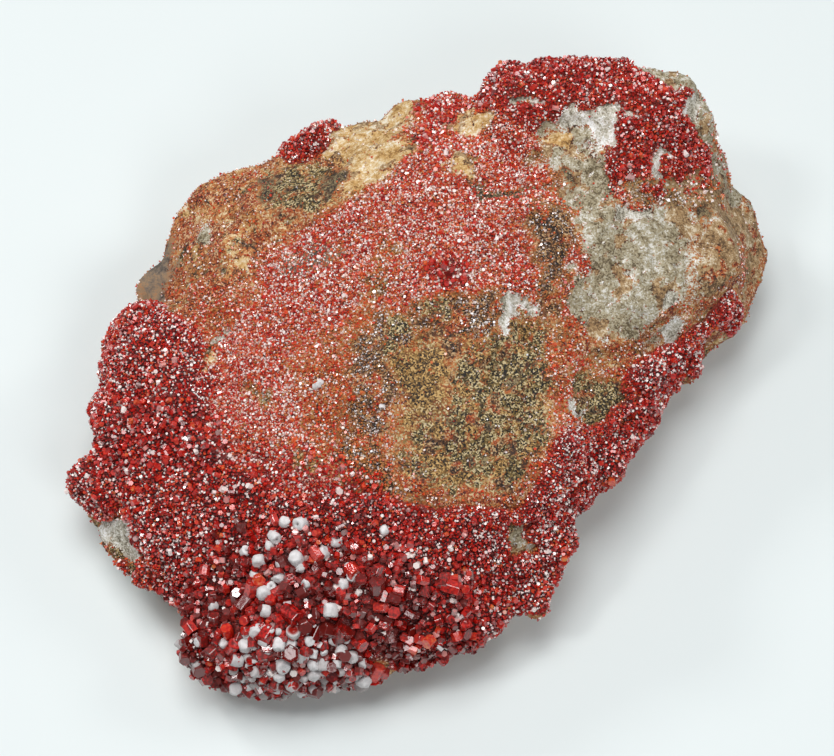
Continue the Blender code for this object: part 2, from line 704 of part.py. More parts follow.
def main():
    clear_scene()
    noise.seed_set(SEED)
    rock = material("iron-stained rock", (0.36, 0.26, 0.16), 0.9)
    red = material("vanadinite", (0.42, 0.02, 0.01), 0.25)
    white = material("white coating", (0.80, 0.78, 0.74), 0.6)

    matrix = object_from("matrix", matrix_mesh(), rock)
    thin_out(matrix, MATRIX_TRIANGLES / len(matrix.data.polygons))
    settle(matrix)
    flatten_base(matrix)
    surface = surface_of(matrix)
    hollow = hollow_for(matrix)

    white_patches = {name: Patch(surface, **limits) for name, limits in WHITE_COATS.items()}
    windows = [patch.block(WINDOW_MARGIN) for patch in white_patches.values()]
    for seed, (name, limits) in enumerate(CRUSTS.items()):
        patch = Patch(surface, **limits)
        grown = crystals_on(patch, name, 0, CRUST_BORDER, random.Random(SEED + seed), white_patches.values())
        crust = overgrown(matrix, name, red)
        combine(crust, "INTERSECT", [patch.block()])
        combine(crust, "UNION", grown)
        combine(crust, "DIFFERENCE", [hollow] + windows)
        thin_out(crust, KEPT_FACES)
        settle(crust)

    for seed, (name, patch) in enumerate(white_patches.items()):
        grown = crystals_on(patch, name, WHITE_TAPER, WHITE_BORDER, random.Random(2 * SEED + seed))
        coat = overgrown(matrix, name, white)
        combine(coat, "INTERSECT", [patch.block()])
        combine(coat, "UNION", grown)
        combine(coat, "INTERSECT", [patch.block(WINDOW_MARGIN - WINDOW_GAP)])
        combine(coat, "DIFFERENCE", [hollow])
        thin_out(coat, KEPT_FACES)
        settle(coat)

    stand_on_origin()


main()
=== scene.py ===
"""Looks of the vanadinite specimen: the rock's fine surface, the crusts with their crystals, the druse
between them and the white-coated crystals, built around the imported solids.

Lengths in the tables are millimetres in the specimen's frame: +X to the right, +Y away from the front
and +Z up from the surface that it lies on.
"""

import math

import bmesh
import bpy
import numpy as np
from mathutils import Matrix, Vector, kdtree, noise
from mathutils.bvhtree import BVHTree


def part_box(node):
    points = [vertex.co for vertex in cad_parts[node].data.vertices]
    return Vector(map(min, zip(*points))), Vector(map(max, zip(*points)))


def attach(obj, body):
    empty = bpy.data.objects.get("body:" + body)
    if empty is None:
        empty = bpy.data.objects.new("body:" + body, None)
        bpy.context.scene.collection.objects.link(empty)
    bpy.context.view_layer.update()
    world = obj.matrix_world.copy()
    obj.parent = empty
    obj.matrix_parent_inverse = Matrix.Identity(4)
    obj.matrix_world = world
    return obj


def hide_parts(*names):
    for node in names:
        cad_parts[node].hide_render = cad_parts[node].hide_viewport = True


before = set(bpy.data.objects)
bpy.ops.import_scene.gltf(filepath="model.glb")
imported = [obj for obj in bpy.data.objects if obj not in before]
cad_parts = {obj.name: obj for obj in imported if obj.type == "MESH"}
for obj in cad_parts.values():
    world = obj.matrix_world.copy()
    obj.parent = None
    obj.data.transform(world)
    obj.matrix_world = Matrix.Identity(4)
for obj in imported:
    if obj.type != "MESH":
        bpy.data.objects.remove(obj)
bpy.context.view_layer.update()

# --------------------------------------------------------------
# The setting: a plain pale floor under a large soft window overhead, and the camera, which looks
# down on the specimen from the front.
# --------------------------------------------------------------

MM = 0.001
FLOOR_SIZE = 4000
FLOOR_COLOURS = ("#DEE5E4", "#E2E9E8")
FLOOR_CLOUDS = 9.0  # cloudy patches to the metre

CAMERA_ELEVATION = math.radians(62)
CAMERA_DISTANCE = 420
CAMERA_TARGET = Vector((-1.7, 1.45, 14))
PIXEL_AT_TARGET = 0.165
PICTURE_WIDTH = 834
SENSOR_WIDTH = 36

# Lamps: place, size, power in watts and how white.
WINDOWS = {
    "soft_box": ((-70, 120, 860), 500, 4.3, "#FFFFFF"),
    "window_back": ((-520, 430, 520), 150, 1.4, "#FFFFFF"),
    "window_left": ((-430, -60, 700), 140, 1.1, "#FFFFFF"),
    "window_front": ((200, -400, 440), 220, 0.9, "#FBFDFF"),
    "window_right": ((560, 160, 520), 200, 0.8, "#FFFFFF"),
}
SKY_COLOUR = "#EEF3FC"
SKY_BRIGHT = (0.03, 0.24)  # from low in front to high at the back
SKY_TOWARDS = (-0.10, 0.42, 0.90)
SKY_LOW = -0.1  # where it starts to brighten: 1 is the brightest place, and 0 is square to it


def linear(hex_colour, alpha=1.0):
    """An sRGB hex colour as the linear numbers that a shader takes."""
    values = [int(hex_colour[i : i + 2], 16) / 255 for i in (1, 3, 5)]
    return tuple(v / 12.92 if v <= 0.04045 else ((v + 0.055) / 1.055) ** 2.4 for v in values) + (alpha,)


def add_node(tree, kind, inputs=None, **settings):
    """A shader node with its settings, and its inputs set to values or linked to other nodes' outputs."""
    made = tree.nodes.new("ShaderNode" + kind)
    for name, value in settings.items():
        setattr(made, name, value)
    for socket, value in (inputs or {}).items():
        if isinstance(value, bpy.types.NodeSocket):
            tree.links.new(value, made.inputs[socket])
        else:
            made.inputs[socket].default_value = value
    return made


def new_material(name, **values):
    """A material, its node tree, its Principled shader with values set, and the place on the object."""
    made = bpy.data.materials.new(name)
    made.use_nodes = True
    tree = made.node_tree
    shader = tree.nodes["Principled BSDF"]
    for socket, value in values.items():
        shader.inputs[socket].default_value = value
    return made, tree, shader, add_node(tree, "TexCoord").outputs["Object"]


def show(name, mesh, material):
    """An object for a finished mesh, at the origin."""
    made = bpy.data.objects.new(name, mesh)
    mesh.materials.clear()
    mesh.materials.append(material)
    bpy.context.scene.collection.objects.link(made)
    return made


scene = bpy.context.scene
scene.view_settings.view_transform = "Standard"

# Painted board: matt, with a faint cloudiness.
board, tree, shader, where = new_material("matt painted board", Roughness=0.65)
clouds = add_node(tree, "TexNoise", {"Vector": where, "Scale": FLOOR_CLOUDS, "Detail": 3.0}).outputs["Fac"]
tint = add_node(
    tree, "Mix", {0: clouds, 6: linear(FLOOR_COLOURS[0]), 7: linear(FLOOR_COLOURS[1])}, data_type="RGBA"
)
tree.links.new(tint.outputs[2], shader.inputs["Base Color"])

bm = bmesh.new()
bmesh.ops.create_grid(bm, x_segments=1, y_segments=1, size=FLOOR_SIZE / 2 * MM)
floor_mesh = bpy.data.meshes.new("floor")
bm.to_mesh(floor_mesh)
bm.free()
show("floor", floor_mesh, board)

sky = bpy.data.worlds.new("soft sky")
sky.use_nodes = True
sky.node_tree.nodes["Background"].inputs["Color"].default_value = linear(SKY_COLOUR)
above = add_node(sky.node_tree, "TexCoord").outputs["Generated"]
above = add_node(sky.node_tree, "VectorMath", {0: above, 1: SKY_TOWARDS}, operation="DOT_PRODUCT")
low, high = SKY_BRIGHT
bright = add_node(
    sky.node_tree,
    "MapRange",
    {"Value": above.outputs["Value"], "From Min": SKY_LOW, "To Min": low, "To Max": high},
)
sky.node_tree.links.new(bright.outputs[0], sky.node_tree.nodes["Background"].inputs["Strength"])
scene.world = sky

for name, (place, size, power, colour) in WINDOWS.items():
    lamp = bpy.data.lights.new(name, "AREA")
    lamp.size = size * MM
    lamp.energy = power
    lamp.color = linear(colour)[:3]
    window = bpy.data.objects.new(name, lamp)
    window.location = Vector(place) * MM
    window.rotation_euler = (CAMERA_TARGET - Vector(place)).to_track_quat("-Z", "Y").to_euler()
    scene.collection.objects.link(window)

lens = bpy.data.cameras.new("camera")
lens.sensor_width = SENSOR_WIDTH
lens.lens = SENSOR_WIDTH * CAMERA_DISTANCE / (PIXEL_AT_TARGET * PICTURE_WIDTH)
camera = bpy.data.objects.new("camera", lens)
away = Vector((0, -math.cos(CAMERA_ELEVATION), math.sin(CAMERA_ELEVATION)))
camera.location = (CAMERA_TARGET + CAMERA_DISTANCE * away) * MM
camera.rotation_euler = away.to_track_quat("Z", "Y").to_euler()
scene.collection.objects.link(camera)
scene.camera = camera

# --------------------------------------------------------------
# The matrix: weathered, iron-stained rock, broken and eroded into benches, ledges and pits. Its solid
# gets the fine surface that weather and breakage left, and a map of its stains and bare places.
# --------------------------------------------------------------

SKIN_STEP = 0.66  # size of the faces of the fine surface
SKIN_EVEN = 5  # rounds of smoothing that take the solid's facets away
NORMAL_EVEN = 12  # rounds of averaging for the directions in which the relief rises
UPWARD = (0.20, 0.55)  # rise of the surface's normal from wall to upper face
WANDER_SIZE = 4.0  # the outlines of the stains wander this finely
WANDER = 1.9  # and this far
WALL_DRUSE = 0.12  # share of the steep sides that crystals cover

# What shows on the upper face, each laid over those before: kind, share of it that crystals cover,
# softness of its edge and its outline on the plan. Elsewhere the druse covers all of it.
ZONES = {
    "orange middle": ("rust", 0.85, 4, (
        (-21, -0.5), (-13, -1.5), (-11, -9.5), (-12, -16), (-13, -23), (-17, -21.5), (-20, -11.5),
    )),
    "orange band": ("rust", 0.72, 2, (
        (18, -0.5), (22.5, 3), (27.5, 0), (34.5, 1.5), (33, -2.5), (23.5, -4), (21.5, -12), (22.5, -15),
        (19, -14.5),
    )),
    "orange left": ("rust", 0.8, 2.5, (
        (-43.5, 8), (-36.5, 12), (-27.5, 16), (-27, 8.5), (-32, 4), (-39, 3),
    )),
    "back slope": ("ochre", 0.18, 3, (
        (-58, 15), (-52, 30), (-40, 40), (-28, 47), (-22, 41), (-17, 41), (-13, 50), (0, 58), (0, 46),
        (-3, 40), (-3, 33), (-6, 28.5), (-12.5, 25.5), (-16, 21), (-21.5, 19.5), (-25, 18.5),
        (-28, 16.5), (-30.5, 12.5), (-36.5, 10), (-42, 9), (-46, 12.5),
    )),
    "tan shoulder": ("tan", 0.06, 1.5, (
        (-18, 38), (-13, 48), (-5, 52), (-0.5, 52), (-3, 43), (-6, 38), (-3, 35.5), (-2.5, 32),
        (-5, 29.5), (-9, 28), (-13.5, 25.5), (-14.5, 29), (-15.5, 36),
    )),
    "olive hollow": ("olive", 0.06, 2.6, (
        (-28, 37), (-24, 36.5), (-19.5, 35.5), (-15.5, 33.5), (-14.5, 29), (-15, 25), (-17, 23),
        (-21, 22.5), (-24, 23), (-25.5, 25.5), (-27.5, 29),
    )),
    "dark hollow": ("dark", 0.1, 1.8, ((-28.5, 35), (-26, 32.5), (-24.5, 29), (-26, 27), (-28, 29.5))),
    "dark hollow, right": ("dark", 0.05, 1.4, (
        (-17.5, 32), (-14.5, 31.5), (-14.5, 28.5), (-15.5, 26), (-17, 27),
    )),
    "grey neck": ("slate", 0.02, 2.8, (
        (-56, 14), (-54, 24), (-47, 28), (-43, 27.5), (-42.5, 21), (-43, 16.5), (-45, 12),
    )),
    "pale neck": ("grey", 0.02, 1.2, (
        (-39, 26.5), (-37, 26.5), (-35.5, 25.5), (-36, 22.5), (-38.5, 23.5),
    )),
    "dark spots": ("dark", 0, 0.6, ((-35, 18.5), (-33, 18), (-33, 15.5), (-34.5, 16))),
    "yellow streak": ("tan", 0.05, 0.8, (
        (-33.5, 18.5), (-31, 18.5), (-28, 17), (-28.5, 15), (-31.5, 16.5),
    )),
    "orange low left": ("rust", 0.45, 2, (
        (-44, 18.5), (-37.5, 16), (-31.5, 14), (-30.5, 10.5), (-37, 10.5), (-43, 16),
    )),
    "grey bench": ("grey", 0.015, 0.9, (
        (24.5, 23.5), (28, 24), (32, 22.5), (36.5, 24.5), (39, 25.5), (43, 29), (48, 31.5), (54, 37),
        (60, 35), (62, 28), (59, 21), (51.5, 14.5), (47, 10), (43.5, 8.5), (40, 5), (35.5, 3), (30, 0.5),
        (26, 1), (23.5, 3.5), (22.5, 6.5), (23, 10), (25, 13.5), (25.5, 17), (24.5, 20),
    )),
    "brown end": ("ochre", 0.1, 2.4, (
        (51.5, 36), (57, 40), (63, 32), (63, 22), (52, 14), (50.5, 15.5), (53.5, 19.5), (55, 25),
        (53, 30),
    )),
    "bench, right": ("umber", 0.03, 5, ((44, 30), (52, 36), (59, 34), (59, 22), (51, 13), (44, 9))),
    "bench, foot": ("ochre", 0.1, 2, (
        (25, 1), (30, 1.5), (36, 4), (41, 6), (44, 9), (45, 7), (40, 3), (30, -1), (25, -1),
    )),
    "bench white, front": ("pale", 0, 0.6, (
        (38.5, 9), (40, 11), (41.5, 8.5), (41.5, 5.5), (39.5, 4), (38, 6.5),
    )),
    "bench white, back": ("grey", 0, 0.5, ((46.8, 26), (47.8, 25.5), (48, 23), (47, 21.5), (46.5, 23.5))),
    "bench white, edge": ("pale", 0, 0.5, ((29, 22.5), (34, 24), (37, 25), (36.5, 23), (32, 20.8))),
    "bench white, middle": ("pale", 0, 0.4, ((31, 12.5), (33, 12.8), (33.5, 11.8), (31.5, 11.5))),
    "bench smudge": ("dark", 0, 0.7, ((45.5, 26.5), (47, 27), (47, 23.5), (45.5, 23.5))),
    "ledge grey": ("grey", 0.02, 1, (
        (19, 38), (22.5, 38.6), (25.5, 38), (27, 37), (28, 36), (28.5, 33), (28.5, 31), (30, 28.5),
        (30, 26), (28.5, 23.5), (25.5, 22.5), (23, 23), (21, 25), (20, 28.5), (19, 31.5), (18.5, 35),
    )),
    "ledge tan": ("tan", 0.03, 0.8, (
        (19, 34.5), (19.5, 36), (21.5, 37), (23.5, 36), (24, 34.5), (22.5, 33), (20.5, 34),
    )),
    "ledge pale": ("pale", 0, 0.8, (
        (20, 38), (22, 39), (24, 38), (26.5, 37.4), (28.5, 36), (28.3, 33), (27.6, 31.5), (27, 33.2),
        (26.3, 35.3), (24, 36.5), (21.5, 37.5),
    )),
    "ledge pits": ("dark", 0.05, 0.9, (
        (21, 30), (22.5, 29), (24, 27), (23.5, 25.5), (21.5, 27), (20.5, 28.5),
    )),
    "band below the crest": ("umber", 0.45, 1.4, (
        (31.5, 26.5), (34.5, 29.5), (39, 30), (43, 33), (47, 35), (49.5, 31), (45, 27), (41, 25.5),
        (36, 25), (32, 25),
    )),
    "crest end": ("grey", 0, 0.6, (
        (34.5, 47.8), (35, 54), (56, 50), (57, 37), (52, 33), (48.5, 33.5), (46, 37), (43, 39.5),
        (41, 40.5), (43, 43), (43, 45), (39, 46),
    )),
    "crest top": ("grey", 0.03, 0.9, (
        (34, 51), (37, 53), (42, 53), (47, 49), (45.5, 46), (43.5, 44.5), (41.5, 45), (39, 44.8),
        (37, 45.8), (35.5, 47.5),
    )),
    "crest end, white": ("pale", 0, 0.5, (
        (40.5, 40.5), (42.5, 43), (44, 45), (45.8, 46), (46.2, 43.5), (45.7, 41.2), (43.5, 40), (43, 41),
        (41.5, 40.5),
    )),
    "crest white, left": ("pale", 0, 0.4, (
        (12.5, 41), (14, 42.2), (16, 42.2), (17.5, 41.7), (19, 41), (18.5, 39.8), (16, 40.2),
        (14.5, 40.2),
    )),
    "crest white, back": ("pale", 0, 0.4, (
        (25, 44.6), (27, 46.2), (28.5, 47.8), (29.3, 46), (27.5, 44.2), (26.3, 43.7),
    )),
    "crest white, middle": ("pale", 0, 0.5, (
        (26.5, 38.5), (28, 39.5), (30, 39.3), (32, 38.3), (34.5, 38.5), (34.8, 37.5), (33, 36.8),
        (31.2, 36.6), (30.8, 34.5), (30.5, 31.5), (29, 31), (28.5, 33), (28.3, 35.5), (27, 37),
    )),
    "crest white, right": ("pale", 0, 0.4, (
        (37.3, 33), (38.5, 34.2), (40.2, 34.2), (40.2, 33), (39.2, 32.3), (39.2, 31), (40.2, 30.3),
        (40.2, 28.8), (39, 28.3), (37.8, 29), (37, 30.5),
    )),
    "tan spot, back": ("tan", 0.03, 1, (
        (2.5, 40.5), (4.5, 43), (7.5, 43.5), (10.5, 41), (11.7, 39.5), (10.7, 37), (8, 36.6),
        (4.5, 37.5),
    )),
    "tan spot, front": ("tan", 0.03, 1, (
        (2.6, 30), (5.5, 31.2), (8.3, 29.5), (7, 27), (6, 25.8), (4.2, 27.5),
    )),
    "tan spot, small": ("tan", 0.15, 0.6, ((15, 33), (17.5, 33), (19, 31.5), (17, 31))),
    "lip shadow": ("dark", 0.25, 1.2, (
        (5, 26), (8.5, 26), (12, 25), (16, 27), (19.5, 29), (20, 26.8), (15, 23.5), (11, 22), (7, 23),
    )),
    # Its dark brown is partly the rock's own and partly painted shade of a slope that faces away from the
    # light.
    "brown slope": ("brown", 0.32, 2.2, (
        (18, 21.5), (21.5, 23.5), (24, 22), (24.5, 17.5), (23, 12.5), (21.5, 8.5), (21.5, 3.5),
        (20.5, 0), (18, 0.5), (17.5, 4.5), (18.5, 9), (17, 14), (16, 18),
    )),
    "mottled edge": ("brown", 0.55, 2.5, (
        (-3, 3), (2, 5), (8.5, 5.5), (12, 4), (11.5, -1.5), (8, -4.5), (4.5, -4), (2, -1), (-2, -2),
    )),
    # Its dark brown is partly the rock's own and partly painted shade on the side of a ridge that faces away
    # from the light.
    "crease": ("brown", 0.66, 2.6, (
        (-12.5, -1.5), (-11, 2.5), (-7.5, 2), (-4, -1), (-2.5, -4.5), (-4.5, -6.5), (-5.5, -10),
        (-6, -16.5), (-7.5, -21), (-10, -21), (-12, -16), (-12, -9.5),
    )),
    "brown foot of the druse": ("brown", 0.88, 2.6, (
        (-16, -17), (-8, -18.5), (-5, -22), (-3, -26.5), (-4.5, -29), (-10.5, -28), (-15, -24),
    )),
    "olive face": ("olive", 0.08, 3.2, (
        (-4.5, -5.5), (-2, -2.5), (2, -1), (4.5, -4), (8, -4), (11, -1), (12, 3.5), (15, 3.5), (18, 4),
        (18.5, -8), (18.5, -14.5), (19.5, -17.5), (17, -20), (15, -23.5), (15.5, -26), (11, -28.5),
        (6.5, -27.5), (2, -28.5), (-2, -28.5), (-3.5, -24.5), (-4.5, -20), (-5, -14), (-5.5, -9.5),
    )),
    "mauve patch": ("slate", 0.75, 1.6, (
        (-23.5, 15), (-21, 16.5), (-17.5, 16.5), (-13, 15), (-12.5, 13.5), (-17.5, 11.5), (-21, 12),
        (-23.5, 12.5),
    )),
    "tan band": ("ochre", 0.74, 2.6, (
        (-7.5, 16), (-4.5, 13.5), (-4, 10.5), (-5.5, 6.5), (-7, 4.5), (-9, 2.5), (-10.5, -1), (-12.5, 1),
        (-10.5, 4.5), (-10, 7.5), (-9, 12),
    )),
    "olive face, dark": ("brown", 0.1, 1.6, ((1, -2), (4, -1.5), (5.5, -6), (2, -7))),
    "olive face, yellow": ("sand", 0.05, 3, ((-4, -6), (1, -4), (3, -12), (-3, -17))),
    "olive mottle, left": ("olive", 0.22, 1.1, (
        (-7, -1.5), (-6, 0.7), (-4, 0.8), (-2.3, -0.5), (-2.3, -2.5), (-3.3, -5), (-5.5, -7.3),
        (-7.2, -6), (-7.7, -4),
    )),
    "olive mottle, middle": ("olive", 0.25, 0.9, (
        (-0.8, 3), (0.5, 4.2), (2.6, 3.8), (3.8, 2), (3.5, -0.3), (1.5, -0.4), (-0.2, 0.9),
    )),
    "fringe of the front crust": ("rust", 0.55, 1.3, (
        (-5, -23.5), (-2, -26.5), (2, -28), (6.5, -28.3), (12, -27.5), (16, -25.5), (19, -21.5),
        (21, -17), (19.5, -16), (17.5, -19.5), (15, -23), (11.5, -25), (6.5, -25.8), (2, -25.3),
        (-1.5, -23.8), (-4, -21.8),
    )),
    "pale top": ("pale", 0.02, 0.7, (
        (11.5, 4), (14, 6), (15.5, 5.5), (18, 6.5), (18.5, 4.5), (17, 4), (15, 3.5), (13.5, 0.5),
        (12, -2), (11.5, 1),
    )),
    "small grey patch": ("olive", 0.06, 1.4, (
        (24, -4.5), (26.5, -3), (27.5, -4.5), (30.5, -3), (33.5, -3), (35, -4), (34, -7), (32.5, -9),
        (29.5, -11), (26, -12.5), (22.5, -13), (22, -11.5), (23.5, -8.5), (23, -6),
    )),
    "small grey patch, pale": ("pale", 0, 0.5, ((22.5, -10), (24.5, -9.5), (25, -12), (23, -12.5))),
    "low patch": ("olive", 0.02, 0.5, (
        (11, -30.3), (12.3, -28), (14.5, -26.7), (17, -27.5), (17, -29.4), (16, -31), (13.7, -33),
        (11.8, -32),
    )),
    "low patch, pale": ("grey", 0, 0.4, (
        (12, -30.4), (13, -28.6), (14.7, -27.8), (16.2, -28.6), (16, -30), (14.2, -31.8), (12.6, -31.4),
    )),
    "brown side, right": ("brown", 0.8, 1.2, (
        (12, -36), (15.5, -36.5), (14.5, -39), (11.5, -42), (8.5, -44.5), (6, -44.5), (8.5, -41),
        (10.5, -38),
    )),
    "gash": ("dark", 0.1, 0.5, (
        (-36.5, -0.2), (-35, 2.4), (-32.4, 3.2), (-31.8, 2.2), (-33.5, 1.2), (-35, -0.6),
    )),
    "gash, pale lip": ("pale", 0.1, 0.5, ((-35.5, 3), (-32, 4.4), (-31, 3), (-32.4, 2.9), (-35, 2.1))),
    "gash, yellow foot": ("tan", 0.35, 1, (
        (-38, -1.5), (-36, 0.3), (-33, 0.3), (-34.5, -2.5), (-37, -3.5),
    )),
    "olive streak": ("olive", 0.5, 0.9, (
        (-29.5, -7.5), (-27.5, -7), (-24.5, -11.5), (-23.5, -14), (-26, -12),
    )),
    "olive streak, low": ("olive", 0.5, 0.9, (
        (-22.5, -18), (-20, -20), (-17, -21), (-17, -23.5), (-20, -22.5),
    )),
    "left foot": ("olive", 0.22, 0.9, (
        (-56, -20.5), (-52.5, -21.5), (-49, -22.3), (-46.5, -24.5), (-45, -27.5), (-44, -30), (-42, -33),
        (-41, -35.5), (-43.5, -36), (-46.5, -34.5), (-49, -32.5), (-51.2, -30), (-53.2, -27), (-55, -24),
    )),
    "fresh break": ("pale", 0, 0.45, (
        (-52.7, -22.6), (-50, -23.4), (-48.3, -25.2), (-47.6, -27.5), (-46.2, -29.3), (-45.6, -31.3),
        (-46.8, -31.8), (-48.6, -30), (-50.2, -27.8), (-51.8, -25.8), (-53.2, -24),
    )),
    "below the rim": ("ochre", 0.12, 1.6, (
        (37.5, -5.5), (39, -1), (43.7, 3.5), (47.5, 9), (56, 10), (56, 2), (46, -4), (41, -9),
    )),
}
ON_WALLS = ("left foot", "fresh break")  # these reach down the steep side too
# The kinds of surface, each laid over those before it.
PAINTS = (
    "ochre", "druse", "rust", "umber", "brown", "sand", "tan", "olive", "slate", "grey", "pale", "dark",
)
SUNK = {"pale": 0.45, "tan": 0.35, "dark": 0.55, "olive": 0.2}  # how far a bare place lies below the druse


def smooth_step(low, high, value):
    share = np.clip((value - low) / (high - low), 0, 1)
    return share * share * (3 - 2 * share)


def depth_in(outline, x, y):
    """How far places lie inside an outline, and as negative numbers how far outside it."""
    nearest = np.full(x.shape, np.inf)
    inside = np.zeros(x.shape, bool)
    for (x0, y0), (x1, y1) in zip(outline, outline[1:] + outline[:1]):
        east, north = x1 - x0, y1 - y0
        along = np.clip(((x - x0) * east + (y - y0) * north) / (east**2 + north**2), 0, 1)
        nearest = np.minimum(nearest, np.hypot(x - x0 - along * east, y - y0 - along * north))
        crossing = x0 + (y - y0) * east / (north or 1)
        inside ^= ((y0 > y) != (y1 > y)) & (x < crossing)
    return np.where(inside, nearest, -nearest)


def grain(places, size, octaves=2, seed=0.0):
    """Fractal noise at places, with lumps of that size."""
    shift = Vector((seed, 2 * seed, 3 * seed))
    return np.array([noise.fractal(Vector(place) / size + shift, 1.0, 2.0, octaves) for place in places])


def numbers(source, what, width=3, kind=np.float32):
    """One value of each item of a mesh's collection, as an array."""
    values = np.empty(len(source) * width, kind)
    source.foreach_get(what, values)
    return values.reshape(-1, width) if width > 1 else values


def evened(values, edges, rounds):
    """Values spread over the mesh by averaging each corner with its neighbours."""
    first, second = edges.T
    corners = len(values)
    count = np.bincount(edges.ravel(), minlength=corners)
    for _ in range(rounds):
        total = np.bincount(first, values[second], corners) + np.bincount(second, values[first], corners)
        values = (values + total / count) / 2
    return values


def joined_copy(node):
    """A CAD node's mesh with its loose triangles joined."""
    copy = bmesh.new()
    copy.from_mesh(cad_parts[node].data)
    bmesh.ops.remove_doubles(copy, verts=copy.verts, dist=0.001 * MM)
    return copy


def evaluated(thing):
    """The object's mesh with its modifiers applied; the object itself is removed."""
    mesh = bpy.data.meshes.new_from_object(thing.evaluated_get(bpy.context.evaluated_depsgraph_get()))
    bpy.data.objects.remove(thing)
    return mesh


def store(mesh, name, values):
    """A number for each corner of the mesh, which its material reads."""
    mesh.attributes.new(name, "FLOAT", "POINT").data.foreach_set("value", values.astype(np.float32))


# Rock of fine grain: matt, brown to ochre with iron, olive and sandy where the stain is thin, grey on
# the benches, with chalky places. Stains follow the map, with edges as ragged as weathering leaves them.
rock, tree, shader, where = new_material("weathered iron-stained rock", Roughness=0.78, IOR=1.55)
GRIT = 0.24  # size of the grains that the rock crumbles into, each of its own tone
GRIT_TONES = (0.22, 0.78)  # their darkest and lightest
MIDDLE, BROAD, STREAK = 1.2, 5.0, 1.3  # sizes of the rock's blotches, and of the streaks of its bedding
BED_TURN = (0.3, 0.2, 0.5)
BED_STRETCH = (1.0, 0.32, 1.0)
grit = add_node(tree, "TexVoronoi", {"Vector": where, "Scale": 1 / (GRIT * MM)})
grit = add_node(tree, "VectorMath", {0: grit.outputs["Color"], 1: (1, 0, 0)}, operation="DOT_PRODUCT")
grit = add_node(
    tree, "MapRange", {"Value": grit.outputs["Value"], "To Min": GRIT_TONES[0], "To Max": GRIT_TONES[1]}
)
grains = {"fine": grit.outputs[0]}
beds = add_node(tree, "Mapping", {"Vector": where, "Rotation": BED_TURN, "Scale": BED_STRETCH}).outputs[0]
for name, size, vector in (("middle", MIDDLE, where), ("broad", BROAD, where), ("streak", STREAK, beds)):
    grains[name] = add_node(
        tree, "TexNoise", {"Vector": vector, "Scale": 1 / (size * MM), "Detail": 2.0, "Roughness": 0.55}
    ).outputs["Fac"]
plain, bedded = (
    add_node(tree, "CombineXYZ", {0: grains["fine"], 1: grains[name], 2: grains["broad"]}).outputs[0]
    for name in ("middle", "streak")
)
# Each kind of surface: the pattern that chooses between its tones, as shares of the fine, middle and broad
# grain, and the tones from dark to light.
TONES = {
    "ochre": (plain, (0.34, 0.36, 0.30), ("#3E2616", "#84481F", "#B4602C", "#B88148", "#C79B62", "#E4CDA4")),
    "tan": (plain, (0.22, 0.42, 0.36), ("#8A6330", "#BC9050", "#CFAA70", "#DFC79C", "#F0E6D0")),
    "sand": (plain, (0.62, 0.21, 0.17), ("#20150A", "#543C1C", "#7A5C2C", "#966E36", "#C8A266")),
    "olive": (plain, (0.66, 0.19, 0.15), ("#0E0904", "#352A14", "#544522", "#6E582C", "#8A723E", "#C8B488")),
    "slate": (plain, (0.14, 0.40, 0.46), ("#4F463E", "#756658", "#93795C", "#A8764E")),
    "grey": (plain, (0.32, 0.34, 0.34), ("#5E5038", "#8E8062", "#A89C80", "#BAB29C", "#DCD8CE")),
    "pale": (bedded, (0.30, 0.45, 0.25), ("#6F6756", "#B2AB98", "#D8D3C6", "#F6F5F2")),
    "dark": (plain, (0.50, 0.30, 0.20), ("#171009", "#3A2D1C", "#625038", "#96845E")),
    "brown": (plain, (0.54, 0.26, 0.20), ("#0E0804", "#321C0C", "#56341C", "#7A522C", "#BC9A70")),
    "umber": (plain, (0.28, 0.38, 0.34), ("#5A4228", "#8A6A44", "#A4845A", "#B99C74", "#DCCCB0")),
    "rust": (plain, (0.50, 0.27, 0.23), ("#3E1408", "#802E12", "#A64A1E", "#AE6C34", "#D0AC84")),
    # The druse's grains are its tiny crystals, each of its own tone; its lightest tone is painted glint.
    "druse": (plain, (0.55, 0.25, 0.20), ("#3A0A08", "#7E1C12", "#A83420", "#C0603E", "#EBC8B6")),
}
TONE_SPREAD = (0.38, 0.62)  # the patterns' values for the darkest and the lightest tone
RAGGED = (0.9, 0.6, 0.0)  # shares of the fine and middle grain in the ragged edges of the stains
STAIN_EDGE = (1.10, 1.40)  # stain and grain together: where it starts to show, and where it is full
colour = None
ragged = add_node(tree, "VectorMath", {0: plain, 1: RAGGED}, operation="DOT_PRODUCT").outputs["Value"]
for name in PAINTS:
    pattern, shares, tones = TONES[name]
    chooser = add_node(tree, "VectorMath", {0: pattern, 1: shares}, operation="DOT_PRODUCT")
    ramp = add_node(tree, "ValToRGB", {"Fac": chooser.outputs["Value"]})
    steps = ramp.color_ramp.elements
    for index, tone in enumerate(tones):
        step = steps[index] if index < 2 else steps.new(1.0)
        step.position = TONE_SPREAD[0] + (TONE_SPREAD[1] - TONE_SPREAD[0]) * index / (len(tones) - 1)
        step.color = linear(tone)
    if colour is None:
        colour = ramp.outputs["Color"]
        continue
    amount = add_node(tree, "Attribute", attribute_name=name).outputs["Fac"]
    uneven = add_node(tree, "Math", {0: amount, 1: ragged}, operation="ADD").outputs[0]
    share = add_node(
        tree,
        "MapRange",
        {"Value": uneven, "From Min": STAIN_EDGE[0], "From Max": STAIN_EDGE[1]},
        interpolation_type="SMOOTHSTEP",
    )
    colour = add_node(
        tree, "Mix", {0: share.outputs[0], 6: colour, 7: ramp.outputs["Color"]}, data_type="RGBA"
    ).outputs[2]
tree.links.new(colour, shader.inputs["Base Color"])
rough = {}
for name, tall, strength in (("fine", 0.2, 0.8), ("streak", 0.4, 0.6)):
    height = {"Height": grains[name], "Distance": tall * MM, "Strength": strength}
    rough = {"Normal": add_node(tree, "Bump", height | rough).outputs[0]}
tree.links.new(rough["Normal"], shader.inputs["Normal"])

